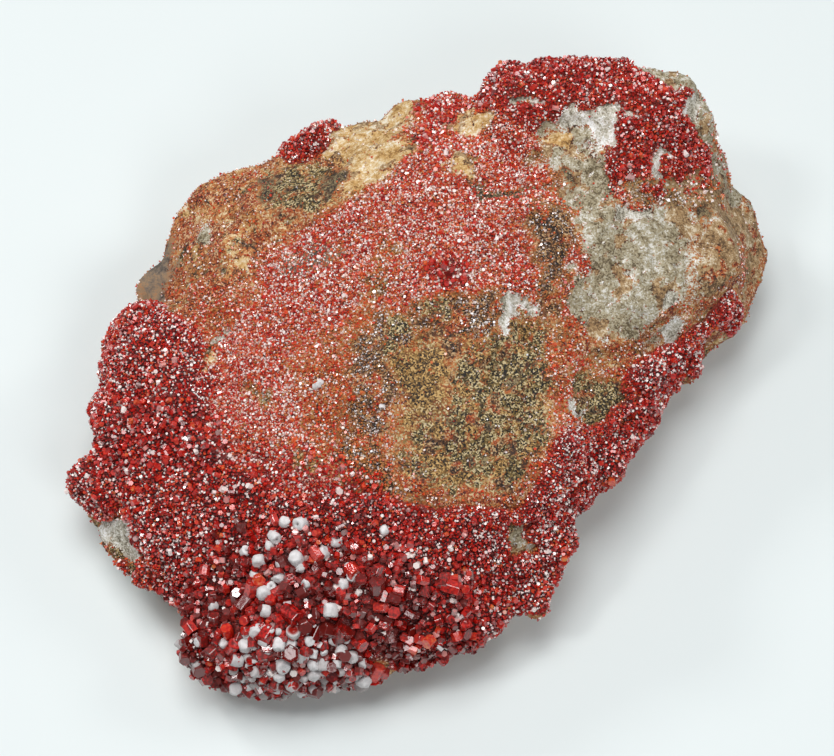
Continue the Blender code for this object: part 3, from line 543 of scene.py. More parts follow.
bm = joined_copy("matrix")
mesh = bpy.data.meshes.new("matrix skin")
bm.to_mesh(mesh)
bm.free()
skin = bpy.data.objects.new("matrix skin", mesh)
scene.collection.objects.link(skin)
remesh = skin.modifiers.new("fine faces", "REMESH")
remesh.mode = "VOXEL"
remesh.voxel_size = SKIN_STEP * MM
even = skin.modifiers.new("even", "SMOOTH")
even.factor = 0.5
even.iterations = SKIN_EVEN
skin_mesh = evaluated(skin)

place = numbers(skin_mesh.vertices, "co").astype(float) / MM
normal = numbers(skin_mesh.vertex_normals, "vector").astype(float)
edges = numbers(skin_mesh.edges, "vertices", 2, np.int32)
flat_normal = np.column_stack([evened(normal[:, i], edges, NORMAL_EVEN) for i in range(3)])
upward = smooth_step(*UPWARD, flat_normal[:, 2])
wander_x = place[:, 0] + WANDER * grain(place, WANDER_SIZE, 4)
wander_y = place[:, 1] + WANDER * grain(place, WANDER_SIZE, 4, seed=31)

paint = {name: np.zeros(len(place)) for name in PAINTS}
paint["druse"] = upward.copy()
paint["ochre"] = 1 - upward
covered = WALL_DRUSE + (1 - WALL_DRUSE) * upward
for name, (kind, share, soft, outline) in ZONES.items():
    over = smooth_step(-soft, soft, depth_in(outline, wander_x, wander_y))
    over = over if name in ON_WALLS else over * upward
    for name in PAINTS:
        paint[name] *= 1 - over
    paint[kind] += over
    covered = covered * (1 - over) + share * over

# Blotches in which one kind of surface gives way to another: from, to, their size, seed and threshold.
BLOTCHES = (
    ("ochre", "rust", 3.4, 61, 0.02),
    ("ochre", "olive", 2.8, 62, 0.24),
    ("ochre", "tan", 2.6, 63, 0.26),
    ("olive", "sand", 2.8, 64, 0.20),
    ("olive", "brown", 3.2, 65, 0.18),
    ("olive", "dark", 1.2, 66, 0.32),
    ("umber", "rust", 2.6, 67, 0.28),
    ("grey", "umber", 4.2, 68, 0.24),
    ("grey", "pale", 0.9, 69, 0.46),
    ("brown", "rust", 2.2, 70, 0.12),
    ("tan", "umber", 2.4, 71, 0.20),
)
BLOTCH_EDGE = 0.14
for source, target, size, seed, threshold in BLOTCHES:
    gone = paint[source] * smooth_step(threshold, threshold + BLOTCH_EDGE, grain(place, size, 3, seed))
    paint[source] = paint[source] - gone
    paint[target] = paint[target] + gone

# The fine relief, as heights over the solid: lumps where the druse grows, steps across the bench, pits in
# the ledge, and everywhere the rock's grain.
LUMPS = ((2.6, 0.34), (1.25, 0.14))
GRAIN = ((3.4, 0.30), (1.3, 0.12))
BENCH_STEP = 2.6  # from one step across the bench to the next
BENCH_RISE = 0.45
BENCH_SLOPE = 0.8  # share of a step that rises
BENCH_TURN = math.radians(68)
BENCH_WAVES = (6.5, 1.3)  # the steps wave in lumps of this size, by this many steps
LEDGE_PIT = 2.2
LEDGE_DRAWN = (1.25, 0.7, 1)  # the pits are drawn out across the ledge
LEDGE_DEPTH = 1.3
DRUSE_HIDES = 0.6  # share of the rock's grain that the druse hides
# Small knobs and notches of the rim: place on the plan, radius and height.
KNOBS = (
    (-58, -18.5, 6, 2), (-33, -54, 4, 1.4), (-19, -54, 7, -0.3), (-7, -52.5, 4, 2),
    (12.5, -43.5, 4, 1.4), (17.5, -39, 5, 3), (29.5, -18.5, 5, 1.2), (40, -4, 4.5, 2.6),
    (45.5, 2.5, 4, 1.5),
)
KNOB_TOP = 0.2  # radius of a knob's flat top, in its own
FOOT = (0.4, 3.0)  # heights over which the relief fades in above the underside

across = (place[:, 0] * math.cos(BENCH_TURN) + place[:, 1] * math.sin(BENCH_TURN)) / BENCH_STEP
across = across + BENCH_WAVES[1] * grain(place, BENCH_WAVES[0], seed=5)
step_up = BENCH_RISE * (smooth_step(0.0, BENCH_SLOPE, across % 1) - 0.5)
pitted = -LEDGE_DEPTH * np.abs(grain(place * LEDGE_DRAWN, LEDGE_PIT, seed=9))
ledge = smooth_step(-1, 1, depth_in(ZONES["ledge grey"][3], wander_x, wander_y)) * upward
druse_lumps = sum(tall * grain(place, size) for size, tall in LUMPS)
rock_grain = sum(tall * grain(place, size, 3, seed=17) for size, tall in GRAIN)
relief = druse_lumps * paint["druse"] + rock_grain * (1 - DRUSE_HIDES * paint["druse"])
relief += step_up * paint["grey"] * (1 - ledge) + pitted * ledge
relief -= sum(deep * paint[name] for name, deep in SUNK.items())
for x, y, reach, tall in KNOBS:
    relief += tall * smooth_step(reach, KNOB_TOP * reach, np.hypot(place[:, 0] - x, place[:, 1] - y))
relief *= smooth_step(*FOOT, place[:, 2])
surface = place + flat_normal * relief[:, None]
surface[:, 2] = np.maximum(surface[:, 2], 0)

skin_mesh.vertices.foreach_set("co", (surface * MM).astype(np.float32).ravel())
for name in PAINTS:
    store(skin_mesh, name, paint[name])
skin_mesh.shade_smooth()
skin_mesh.update()
matrix_rock = show("matrix_rock", skin_mesh, rock)
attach(matrix_rock, "root")
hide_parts("matrix")

# --------------------------------------------------------------
# The crusts: solid vanadinite one or two millimetres thick that has grown on the rock. It thins out to
# nothing at its edges and is missing where the rock is bare. Each is one closed shell under its crystals.
# --------------------------------------------------------------

# Each crust's thickness, and the CAD nodes that say where it lies.
CRUSTS = {
    "main_crust_body": (1.5, ("main_crust", "white_crystals_upper", "white_crystals_front")),
    "crest_crust_body": (0.7, ("crest_crust",)),
    "back_edge_crust_body": (1.1, ("back_edge_crust",)),
}
CRUST_NEAR = 4.0  # the rock is searched this far around each crust
LOOK_FROM = 6.0  # where the search for a crust starts, outside the rock
LEAST_CRUST = 0.7  # and where it ends
CRUST_EVEN = 20  # rounds of averaging of what it found
CRUST_THIN = (0.25, 0.95)  # share of crust around a place from none to all of its thickness
BARE_EVEN = 3
LEAST_FACE = 0.03  # a thinner crust has no body
CRUST_ROOT = 0.3  # how far a crust reaches into the rock
CRUST_SHOWS = (0.02, 0.35)  # thickness from rock with druse to crust
CRUST_LUMPS = (1.9, 0.3)  # size of its lumps, and their share of its thickness
CLEAR = 0.2  # everything on the rock stays this far off the floor
CRUST_SINK = 0.15  # a crust's top lies this much lower, so that it runs out into the rock
CRUST_SHADE_THICKNESS = (0.3, 1.3)  # from thin and red to thick and painted nearly black, as shade between the crystals
BARE = ("pale", "tan", "grey", "olive", "dark", "slate", "umber")

bare = np.clip(sum(paint[name] for name in BARE), 0, 1)
bare = np.maximum(bare, evened(bare, edges, BARE_EVEN))
thickness = {}
for body, (full, nodes) in CRUSTS.items():
    found = np.zeros(len(place))
    for node in nodes:
        copy = joined_copy(node)
        solid = BVHTree.FromBMesh(copy)
        copy.free()
        low, high = (np.array(corner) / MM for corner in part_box(node))
        near = np.all((place > low - CRUST_NEAR) & (place < high + CRUST_NEAR), axis=1)
        for index in np.flatnonzero(near):
            start, outward = Vector(place[index]), Vector(flat_normal[index]).normalized()
            reach = (LOOK_FROM - LEAST_CRUST) * MM
            if solid.ray_cast((start + outward * LOOK_FROM) * MM, -outward, reach)[0]:
                found[index] = 1
    thickness[body] = full * smooth_step(*CRUST_THIN, evened(found, edges, CRUST_EVEN)) * (1 - bare)
lift = np.maximum.reduce(list(thickness.values()))
on_crust = smooth_step(*CRUST_SHOWS, lift)
covered = np.maximum(covered, on_crust)

skin_normal = numbers(skin_mesh.vertex_normals, "vector").astype(float)
lumpy = 1 + CRUST_LUMPS[1] * grain(place, CRUST_LUMPS[0], seed=23)
outer = surface + skin_normal * (lift * lumpy)[:, None]
outer[:, 2] = np.maximum(outer[:, 2], CLEAR)

# Massive vanadinite: dense and resinous, red where it is thin. Where it is thick, and in the creases between
# its knobs, it is painted nearly black: painted shade in the gaps between the crystals.
crust_red, tree, shader, where = new_material("massive vanadinite", Roughness=0.55, IOR=1.6)
CRUST_KNOB, CRUST_KNOB_RISE = 0.4, 0.3
CRUST_REDS_AND_GAP_SHADE = (("#B03A1E", "#6A100A"), ("#6A1A0E", "#3A0604"))  # thin and thick, of the knobs and, with painted shade, between them
knobs = add_node(tree, "TexVoronoi", {"Vector": where, "Scale": 1 / (CRUST_KNOB * MM)}).outputs["Distance"]
# deep: how far the crust is painted nearly black, as shade between its crystals
deep = add_node(tree, "Attribute", attribute_name="deep").outputs["Fac"]
on_knob, shade_between_knobs = (
    add_node(tree, "Mix", {0: deep, 6: linear(thin), 7: linear(thick)}, data_type="RGBA").outputs[2]
    for thin, thick in CRUST_REDS_AND_GAP_SHADE
)
red_with_gap_shade = add_node(tree, "Mix", {0: knobs, 6: on_knob, 7: shade_between_knobs}, data_type="RGBA").outputs[2]
tree.links.new(red_with_gap_shade, shader.inputs["Base Color"])
knobby = add_node(
    tree, "Bump", {"Height": knobs, "Distance": CRUST_KNOB_RISE * MM, "Strength": 1.0}, invert=True
)
tree.links.new(knobby.outputs[0], shader.inputs["Normal"])

for body, (_, nodes) in CRUSTS.items():
    bm = bmesh.new()
    bm.from_mesh(skin_mesh)
    bm.verts.ensure_lookup_table()
    number = bm.verts.layers.int.new("number")
    for index, vert in enumerate(bm.verts):
        vert[number] = index
    thick = thickness[body]
    outside = [face for face in bm.faces if max(thick[vert.index] for vert in face.verts) < LEAST_FACE]
    bmesh.ops.delete(bm, geom=outside, context="FACES")
    grown = bmesh.ops.extrude_face_region(bm, geom=bm.faces[:])
    top = {item for item in grown["geom"] if isinstance(item, bmesh.types.BMVert)}
    # Painted shade: the thicker the crust, the nearer black, for the gaps between its crystals.
    deep = smooth_step(*CRUST_SHADE_THICKNESS, np.array([thick[vert[number]] for vert in bm.verts]))
    for vert in bm.verts:
        index = vert[number]
        if vert in top:
            vert.co = Vector(outer[index] - CRUST_SINK * skin_normal[index]) * MM
        else:
            vert.co = Vector(surface[index] - CRUST_ROOT * skin_normal[index]) * MM
    bmesh.ops.recalc_face_normals(bm, faces=bm.faces)
    mesh = bpy.data.meshes.new(body)
    bm.to_mesh(mesh)
    bm.free()
    store(mesh, "deep", deep)
    mesh.shade_smooth()
    piece = show(body, mesh, crust_red)
    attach(piece, "root")
    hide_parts(nodes[0])

# --------------------------------------------------------------
# The crystals: short six-sided prisms of vanadinite, from a fifth of a millimetre across in the druse to
# more than three on the front lump. They have grown every which way, rooted in the crust or in the rock.
# --------------------------------------------------------------

DRUSE_SIZE = 0.25
WALL_SIZE, STEEP = 0.6, 0.3  # the largest on steep rock: less than this share of an upper face
# Where they are larger: size across, softness of the edge and outline on the plan.
GROWTH = {
    "left lobe": (0.37, 4, (
        (-45.5, 12), (-41, 6), (-39, 0), (-37, -6), (-36, -13), (-33, -18), (-27, -21), (-30, -30),
        (-62, -30), (-62, 5), (-54, 16),
    )),
    "left step": (0.54, 3, ((-52, -8), (-44, -8), (-33, -13), (-30, -20), (-40, -20), (-52, -18))),
    "front slope": (0.42, 4, (
        (-28, -18), (-15, -19.5), (-7.5, -22.5), (-2, -27), (6.5, -29.5), (14, -33), (18, -28),
        (21, -24), (26, -16), (34, -8), (45, -12), (30, -48), (0, -60), (-40, -60), (-44, -34),
    )),
    "front lump": (1.1, 4.5, (
        (-45, -40), (-30, -33), (-14, -33), (0, -38), (2, -46), (-4, -58), (-40, -60), (-46, -50),
    )),
    "front lump, right": (0.95, 4, ((-2, -36), (6, -36), (8, -44), (2, -52), (-6, -50))),
    "right rim": (0.42, 1.6, (
        (34, -8), (33.5, -4), (38.5, 2.5), (44.5, 7.5), (50, 13), (53, 15.5), (58, 16), (56, 8),
        (46, -2), (40, -10),
    )),
    "crest": (0.38, 2.5, (
        (8, 40), (10, 54), (34, 54), (40, 46), (50, 40), (54, 33), (46, 27), (39, 26.5), (32, 28),
        (31, 34), (28, 39),
    )),
    "back knob": (0.34, 2, ((-28, 36), (-26, 50), (-12, 50), (-14, 40), (-20, 37))),
    "upper ridge": (0.4, 4, ((-4, 34), (-3, 50), (8, 50), (8, 42), (3, 36), (4, 28))),
    "rosette": (0.5, 2, ((-1, 8), (2.5, 10.5), (6, 9), (5.5, 6), (1.5, 5.5))),
}
# The largest crystals of the front lump and the slope over it: place on the plan and size across.
LARGE_CRYSTALS = (
    (-13.2, -45.3, 3.6), (-21.4, -42.6, 2.8), (-19.5, -44.2, 2.3), (-25.2, -47.8, 2.7),
    (-21.4, -47.6, 3), (-12.7, -47.7, 2.1), (-33.7, -46.6, 2.4), (-30, -46, 2.2), (-35.7, -47.8, 2.2),
    (-19.5, -40.1, 2), (-21.8, -39.5, 1.8), (-29.7, -49.1, 2.1), (-34.9, -45.2, 2), (-30.7, -49.9, 2.1),
    (-7.3, -37, 2.1), (-16.7, -35.9, 1.7), (-23.4, -43.5, 1.7), (-37.1, -36.6, 1.7), (-25.8, -50.7, 1.6),
    (-32.3, -39.7, 1.6), (-27.3, -42.2, 1.5), (-10.6, -45.3, 1.7), (-4.6, -39.9, 1.8),
    (-2.8, -45.3, 1.6), (-9, -41.3, 1.6), (-15.2, -39.9, 1.8),
)
SEED = 41
TRIES = 620000
# Least distance between crystals by their size, in sizes: the larger ones grow over each other.
CLOSE = ((0.3, 0.5, 0.9), (0.72, 0.66, 0.58))
SIZE_SPREAD = 0.32
LARGEST = 3.2
FILLED_FROM, FILLER_SHARE, FILLER_SIZE = 0.6, 0.68, 0.45  # above this size, smaller ones fill the gaps
SMALLEST = 0.18
TONE_SCATTER, TONE_LIMIT = 0.08, 0.3  # how much one crystal's tone differs from the next one's
# How far crystals are painted towards white: clean ones hardly, those with a painted sheen of reflected sky
# pale pink, those with a painted glint nearly white.
PAINTED_PALE_AMOUNTS = {"clean": (0.0, 0.04), "painted_sheen": (0.12, 0.4), "painted_glints": (0.8, 1.0)}
LARGE = 1.3  # from this size on a crystal gets bevelled edges, and some get hollow ends
HOLLOW_SHARE = 0.25
EDGE_BEVEL, HOLLOW_BEVEL, HOLLOW_RIM, HOLLOW_DEPTH = 0.035, 0.03, 0.14, 0.22  # in sizes
LUCK = (0.04, 1.0)  # the larger crystals take their places first, unless they have bad luck
HIGHER = 0.05  # a listed crystal rather stands on a higher place than on the nearest one
LOWEST = 0.8
OFF_FLOOR = (0.8, 0.2)  # least height of a crystal's foot, in sizes and on top of it
FILLED = 1.15  # nearly covered places are fully covered
BUD = 0.68  # below this size only the head of a crystal shows
TILT = 1.25  # spread of the crystals' tilt, in radians
RISE = (0.05, 0.45)  # height of a crystal's middle over what it grows on, in sizes
LENGTHS = (0.55, 1.25)  # in sizes
LOW_PAINTED_SHADE = 0.2  # painted shade: darker tone of the crystals that sit low between the others
PAINTED_SHEEN_SHARE = 0.07  # of the crystals get a thin pale pink: painted sheen of reflected sky
GLINT_SIZES = ((0.3, 0.5, 0.9), (1.15, 0.6, 0.25))  # small crystals are painted as glints more often

size_here = np.full(len(place), DRUSE_SIZE)
for size, soft, outline in GROWTH.values():
    share = smooth_step(-soft, soft, depth_in(outline, wander_x, wander_y))
    size_here = size_here * (1 - share) + size * share
size_here = np.where(upward + on_crust < STEEP, np.minimum(size_here, WALL_SIZE), size_here)


def prism(bevel=0.0, hollow=0.0, root=0.5):
    """A six-sided prism one unit wide and one long: its corners, and its faces as lists of corners."""
    bm = bmesh.new()
    bmesh.ops.create_cone(bm, cap_ends=True, segments=6, radius1=root, radius2=0.5, depth=1)
    if root == 0:
        bmesh.ops.remove_doubles(bm, verts=bm.verts, dist=0.01)
    if hollow:
        ends = [face for face in bm.faces if len(face.verts) == 6]
        bmesh.ops.inset_individual(bm, faces=ends, thickness=HOLLOW_RIM, depth=-hollow)
    if bevel:
        edges = bm.edges[:]
        bmesh.ops.bevel(bm, geom=edges, offset=bevel, segments=1, affect="EDGES", profile=0.5, material=-1)
    bmesh.ops.recalc_face_normals(bm, faces=bm.faces)
    corners = np.array([vert.co for vert in bm.verts])
    faces = [[vert.index for vert in face.verts] for face in bm.faces]
    bm.free()
    return corners, faces


# A bud starts from a point in the rock, so that only its end and the upper part of its sides show.
SHAPES = {
    "bud": prism(root=0),
    "small": prism(),
    "large": prism(bevel=EDGE_BEVEL),
    "hollow": prism(bevel=HOLLOW_BEVEL, hollow=HOLLOW_DEPTH),
}


def joined_shapes(name, shape, middle, turn, stretch, values):
    """One mesh of a shape set many times: at the middles, turned and stretched, with a value for each."""
    corners, faces = SHAPES[shape]
    count, each = len(middle), len(corners)
    spread = np.einsum("nij,nkj->nki", turn, corners[None] * stretch[:, None, :]) + middle[:, None, :]
    loops = np.concatenate(faces)
    starts = np.cumsum([0] + [len(face) for face in faces[:-1]])
    mesh = bpy.data.meshes.new(name)
    mesh.vertices.add(count * each)
    mesh.vertices.foreach_set("co", (spread * MM).astype(np.float32).ravel())
    mesh.loops.add(count * len(loops))
    every = np.arange(count)[:, None]
    mesh.loops.foreach_set("vertex_index", (loops[None] + every * each).astype(np.int32).ravel())
    mesh.polygons.add(count * len(faces))
    mesh.polygons.foreach_set("loop_start", (starts[None] + every * len(loops)).astype(np.int32).ravel())
    mesh.update(calc_edges=True)
    mesh.shade_flat()
    for attribute, value in values.items():
        store(mesh, attribute, np.repeat(value, each))
    return mesh


def turned(normals, draw, tilt):
    """Rotations that stand a prism up along each normal, then tilt and spin it at random."""
    count = len(normals)
    aside = np.cross(normals, draw.normal(size=(count, 3)))
    aside /= np.linalg.norm(aside, axis=1)[:, None]
    lean = tilt * np.sqrt(draw.random(count))[:, None]
    axis = normals * np.cos(lean) + aside * np.sin(lean)
    first = np.cross(axis, draw.normal(size=(count, 3)))
    first /= np.linalg.norm(first, axis=1)[:, None]
    return np.stack([first, np.cross(axis, first), axis], axis=2)


# Places are drawn over the outer surface, the larger crystals take theirs first, and none comes closer
# to another than its size allows.
draw = np.random.default_rng(SEED)
skin_mesh.calc_loop_triangles()
triangles = numbers(skin_mesh.loop_triangles, "vertices", 3, np.int32)
a, b, c = (outer[triangles[:, i]] for i in range(3))
area = np.linalg.norm(np.cross(b - a, c - a), axis=1) / 2
wanted = area * covered[triangles].mean(axis=1) / size_here[triangles].mean(axis=1) ** 2
wanted *= place[triangles[:, 0], 2] > LOWEST
chosen = draw.choice(len(triangles), TRIES, p=wanted / wanted.sum())
share = draw.dirichlet((1, 1, 1), TRIES)


def at_chosen(values):
    """Values at the corners of the surface, at the places drawn."""
    if values.ndim == 2:
        return np.einsum("nk,nkj->nj", share, values[triangles[chosen]])
    return (share * values[triangles[chosen]]).sum(axis=1)


foot = at_chosen(outer)
foot_normal = at_chosen(skin_normal)
foot_normal /= np.linalg.norm(foot_normal, axis=1)[:, None]
size = at_chosen(size_here) * np.exp(SIZE_SPREAD * draw.normal(size=TRIES))
size = np.where((size > FILLED_FROM) & (draw.random(TRIES) < FILLER_SHARE), size * FILLER_SIZE, size)
size = np.clip(size, SMALLEST, LARGEST)
order = np.argsort(-np.sqrt(size) * draw.uniform(*LUCK, TRIES))
listed = []
for x, y, wide in LARGE_CRYSTALS:
    listed.append(np.argmin(np.hypot(foot[:, 0] - x, foot[:, 1] - y) - HIGHER * foot[:, 2]))
    size[listed[-1]] = wide
order = np.concatenate([listed, order[~np.isin(order, listed)]])
room = size * np.interp(size, *CLOSE)
places = kdtree.KDTree(TRIES)
for index in order:
    places.insert(foot[index], index)
places.balance()
free = foot[:, 2] > OFF_FLOOR[0] * size + OFF_FLOOR[1]
kept = []
for index in order:
    if free[index]:
        kept.append(index)
        for _, other, _ in places.find_range(foot[index], room[index]):
            free[other] = False
kept = np.array(kept)
kept = kept[draw.random(len(kept)) < at_chosen(covered)[kept] * FILLED]

# Vanadinite crystals: lead vanadate, with flat faces that shine like resin, a little etched and stepped.
# Deep red to orange and brown, each zoned in its own way, and on brown rock paled towards white as painted
# glints. Some are painted nearly white as glints, and some pale pink as a painted sheen of reflected sky.
# The index of refraction is the real one; the level tones its mirror down to what a dusty, slightly clear
# face shows.
vanadinite, tree, shader, where = new_material("vanadinite crystals", IOR=2.4)
ZONE_SIZE = 0.5  # the real growth zones are finer than shows, so these are as coarse as they need to be
ZONE_TONES = (0.9, -0.45)  # how much the zones change the tone, and their middle
FACE_STEPS = 0.06  # height
ETCHED = {"From Min": 0.4, "From Max": 0.7, "To Min": 0.05, "To Max": 0.18}
# The last tone, white, is painted glint.
CRYSTAL_TONES = ("#680A03", "#BC140E", "#D02E16", "#DA602C", "#BE884A", "#7E4420", "#FFFFFF")
# Near white: the colour of painted glints and, mixed in a little, of painted sheen.
PAINTED_GLINT_WHITE = "#FFF4EE"
tone = add_node(tree, "Attribute", attribute_name="tone").outputs["Fac"]
zones = add_node(tree, "TexNoise", {"Vector": where, "Scale": 1 / (ZONE_SIZE * MM), "Detail": 3.0})
zones = zones.outputs["Fac"]
varied = add_node(
    tree, "Math", {0: zones, 1: ZONE_TONES[0], 2: ZONE_TONES[1]}, operation="MULTIPLY_ADD"
).outputs[0]
varied = add_node(tree, "Math", {0: varied, 1: tone}, operation="ADD").outputs[0]
ramp = add_node(tree, "ValToRGB", {"Fac": varied})
steps = ramp.color_ramp.elements
for index, tone_colour in enumerate(CRYSTAL_TONES):
    step = steps[index] if index < 2 else steps.new(1.0)
    step.position = index / (len(CRYSTAL_TONES) - 1)
    step.color = linear(tone_colour)
glint_paint = add_node(tree, "Attribute", attribute_name="glint_paint").outputs["Fac"]
painted_glints = add_node(
    tree, "Mix", {0: glint_paint, 6: ramp.outputs["Color"], 7: linear(PAINTED_GLINT_WHITE)}, data_type="RGBA"
).outputs[2]
tree.links.new(painted_glints, shader.inputs["Base Color"])
etched = add_node(tree, "MapRange", {"Value": zones, **ETCHED})
tree.links.new(etched.outputs[0], shader.inputs["Roughness"])
stepped = add_node(tree, "Bump", {"Height": zones, "Distance": FACE_STEPS * MM, "Strength": 0.6})
tree.links.new(stepped.outputs[0], shader.inputs["Normal"])
shader.inputs["Specular IOR Level"].default_value = 0.24

# Tones from 0 to 1, and those of the thin druse over each kind of rock.
# The palest tone, near the white end, paints glints on the crystals of brown rock.
DEEP, BRIGHT, ORANGE, GOLDEN, BROWN, PALE_GLINT = 0.19, 0.40, 0.52, 0.66, 0.80, 0.94
THIN_DRUSE = {
    "rust": ORANGE,
    "ochre": ORANGE,
    "umber": BROWN,
    "brown": (BROWN + PALE_GLINT) / 2,
    "olive": BROWN,
    "sand": GOLDEN,
    "tan": GOLDEN,
}
TONE_CLOUDS = (3.2, 0.14)  # size of the clouds of lighter and darker crystals, and how much they differ
COARSE = (0.32, 0.46)  # crystal size from fine druse to coarse
COARSEST = (0.6, 1.05)
CRUST_DEEP_TONE = 0.85  # how far the crusts' crystals are as deep as the coarse ones
COARSEST_DARKER = 0.13
# Share of the crystals painted nearly white as glints, fine and coarse, and how much less it is elsewhere.
GLINT_FINE, GLINT_COARSE = 0.31, 0.23
LESS_DUSKY, LESS_COARSEST, LESS_CREST = 0.75, 0.5, 0.45
DUSKY = {"olive": 1.0, "sand": 1.0, "brown": 1.15, "rust": 0.6}
CREST_FROM = ((-6, 2), (20, 30))  # where the crest starts, from left to right and from front to back

tone_here = np.full(len(place), BRIGHT)
for name, tint in THIN_DRUSE.items():
    tone_here = tone_here + (tint - tone_here) * paint[name] * (1 - on_crust)
coarse = smooth_step(*COARSE, size_here)
coarsest = smooth_step(*COARSEST, size_here)
deep = np.maximum(coarse, CRUST_DEEP_TONE * on_crust)
clouds = TONE_CLOUDS[1] * grain(place, TONE_CLOUDS[0], 3, seed=51)
tone_here = tone_here * (1 - deep) + DEEP * deep - COARSEST_DARKER * coarsest + clouds
dusky = sum(share * paint[name] for name, share in DUSKY.items())
crest = smooth_step(*CREST_FROM[1], place[:, 1]) * smooth_step(*CREST_FROM[0], place[:, 0]) * on_crust
glint_here = GLINT_FINE * (1 - coarse) * (1 - LESS_DUSKY * dusky)
glint_here = glint_here + GLINT_COARSE * coarse * (1 - LESS_COARSEST * coarsest)
glint_here = glint_here * (1 - LESS_CREST * crest)


def grow(name, chosen_ones, nodes=()):
    """A piece of the crystals chosen, each by its size small, large or large with hollow ends."""
    meshes = []
    big = size[chosen_ones] > LARGE
    hollow = big & (draw.random(len(chosen_ones)) < HOLLOW_SHARE)
    bud = size[chosen_ones] < BUD
    kinds = {"bud": bud, "small": ~big & ~bud, "large": big & ~hollow, "hollow": hollow}
    for shape, members in kinds.items():
        which = chosen_ones[members]
        if not len(which):
            continue
        turn = turned(foot_normal[which], draw, TILT)
        wide = size[which]
        tall = wide * draw.uniform(*LENGTHS, len(which))
        rise = draw.uniform(*RISE, len(which))
        middle = foot[which] + foot_normal[which] * (wide * rise)[:, None]
        scatter = np.clip(TONE_SCATTER * draw.standard_t(3, len(which)), -TONE_LIMIT, TONE_LIMIT)
        tones = at_chosen(tone_here)[which] + scatter
        # Painted shade: the lower a larger crystal sits among the others, the darker its tone.
        tones -= np.where(wide > DRUSE_SIZE * 2, LOW_PAINTED_SHADE * (RISE[1] - rise), 0)
        glinting = draw.random(len(which)) < at_chosen(glint_here)[which] * np.interp(wide, *GLINT_SIZES)
        glinting &= wide < LARGE
        # Painted sheen: a few crystals are tinted pale pink as if they mirrored the sky.
        painted_sheen = (draw.random(len(which)) < PAINTED_SHEEN_SHARE) & (wide < LARGE)
        glint_paints = draw.uniform(*PAINTED_PALE_AMOUNTS["painted_sheen"], len(which))
        glint_paints = np.where(painted_sheen, glint_paints, draw.uniform(*PAINTED_PALE_AMOUNTS["clean"], len(which)))
        glint_paints = np.where(glinting, draw.uniform(*PAINTED_PALE_AMOUNTS["painted_glints"], len(which)), glint_paints)
        stretch = np.column_stack([wide, wide, tall])
        meshes.append(joined_shapes(name, shape, middle, turn, stretch, {"tone": tones, "glint_paint": glint_paints}))
    bm = bmesh.new()
    for mesh in meshes:
        bm.from_mesh(mesh)
        bpy.data.meshes.remove(mesh)
    mesh = bpy.data.meshes.new(name)
    bm.to_mesh(mesh)
    bm.free()
    piece = show(name, mesh, vanadinite)
    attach(piece, "root")
    if nodes:
        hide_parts(*nodes)


# The pieces: those of the crusts, and of the druse between them, cut from left to right.
CRUST_FROM = 0.3
CREST_LINE = 20  # the crest and the back edge lie behind it
MAIN_CUTS = (-30, 5)
DRUSE_CUTS = (-20, -2, 16)
x, y = foot[kept].T[:2]
on_body = at_chosen(on_crust)[kept] > CRUST_FROM
behind = on_body & (y > CREST_LINE)
part = np.searchsorted(MAIN_CUTS, x, side="right")
for index, side in enumerate(("left", "front", "right")):
    grow("main_crust_" + side, kept[on_body & ~behind & (part == index)], ("main_crust",))
grow("crest_crust_crystals", kept[behind & (x > 0)], ("crest_crust",))
grow("back_edge_crust_crystals", kept[behind & (x < 0)], ("back_edge_crust",))
part = np.searchsorted(DRUSE_CUTS, x, side="right")
for index, side in enumerate(("left", "middle", "right", "far_right")):
    grow("druse_" + side, kept[~on_body & (part == index)])

# --------------------------------------------------------------
# The white-coated crystals: vanadinite overgrown by a snowy white coat that rounds its edges off. Some
# have a hollow in the end, painted dark as shade, and on some the end is bare and shows the red crystal in
# its white rim. The coat of the lower ones is darkened with painted shade.
# --------------------------------------------------------------

# Crystals of the upper group, with a pair in the middle of the druse, and of the lump's left side: place on
# the plan and size across. Those of the front group fill its outline.
WHITE_UPPER = (
    (-19.6, -30.2, 2.3), (-22.2, -29.9, 1.9), (-23.7, -31.9, 2), (-24.5, -33.1, 1.7),
    (-28.2, -33.3, 1.9), (-26, -34.9, 2.4), (-16.3, -34.7, 2.2), (-14.3, -32.7, 1.7),
    (-20.4, -35.3, 2.5), (-20, -36.6, 1.9), (-22.9, -35.8, 1.6), (-22.9, -37.6, 2), (-26.9, -36.9, 1.8),
    (-24.2, -38.7, 1.7), (-18.7, -38.8, 1.9), (-13.3, -38.7, 2.2), (-11.8, -37.6, 2),
    (-12.4, -36.4, 1.5), (-25.4, -39.8, 2.5), (-25.1, -42.4, 2.3), (-15, -42.4, 2.6), (-6.6, -31.9, 1.9),
    (-6.8, -44.1, 1.6), (-33.5, -40, 1.7), (-17.3, -9.9, 1.2), (-16.8, -9.4, 1),
)
WHITE_LEFT = (
    (-38.5, -39.9, 1.9), (-39, -43, 1.8), (-35.5, -45.4, 1.7), (-36.3, -47.5, 1.9), (-31.7, -45.7, 1.8),
    (-34.4, -49.5, 1.6), (-37.6, -41.6, 1.6),
)
WHITE_FRONT_OUTLINE = (
    (-30.5, -47.2), (-27.7, -44.5), (-23.6, -44.4), (-19.9, -44), (-17.1, -45.6), (-14.4, -44.2),
    (-12.2, -45.2), (-9.8, -47.7), (-11, -56), (-31, -56),
)
WHITE_FRONT_SIZE = (1.2, 2.6)
WHITE_FRONT_GAP = 0.86  # in sizes
WHITE_TALL = (0.6, 0.95)  # in sizes
WHITE_RISE = 0.22  # height of a crystal's middle over the crust, in sizes
ROUNDING = 7  # the higher, the sharper the edges of the coated prisms
COAT_LUMPS = (0.7, 0.15)  # size and height of the coat's lumps
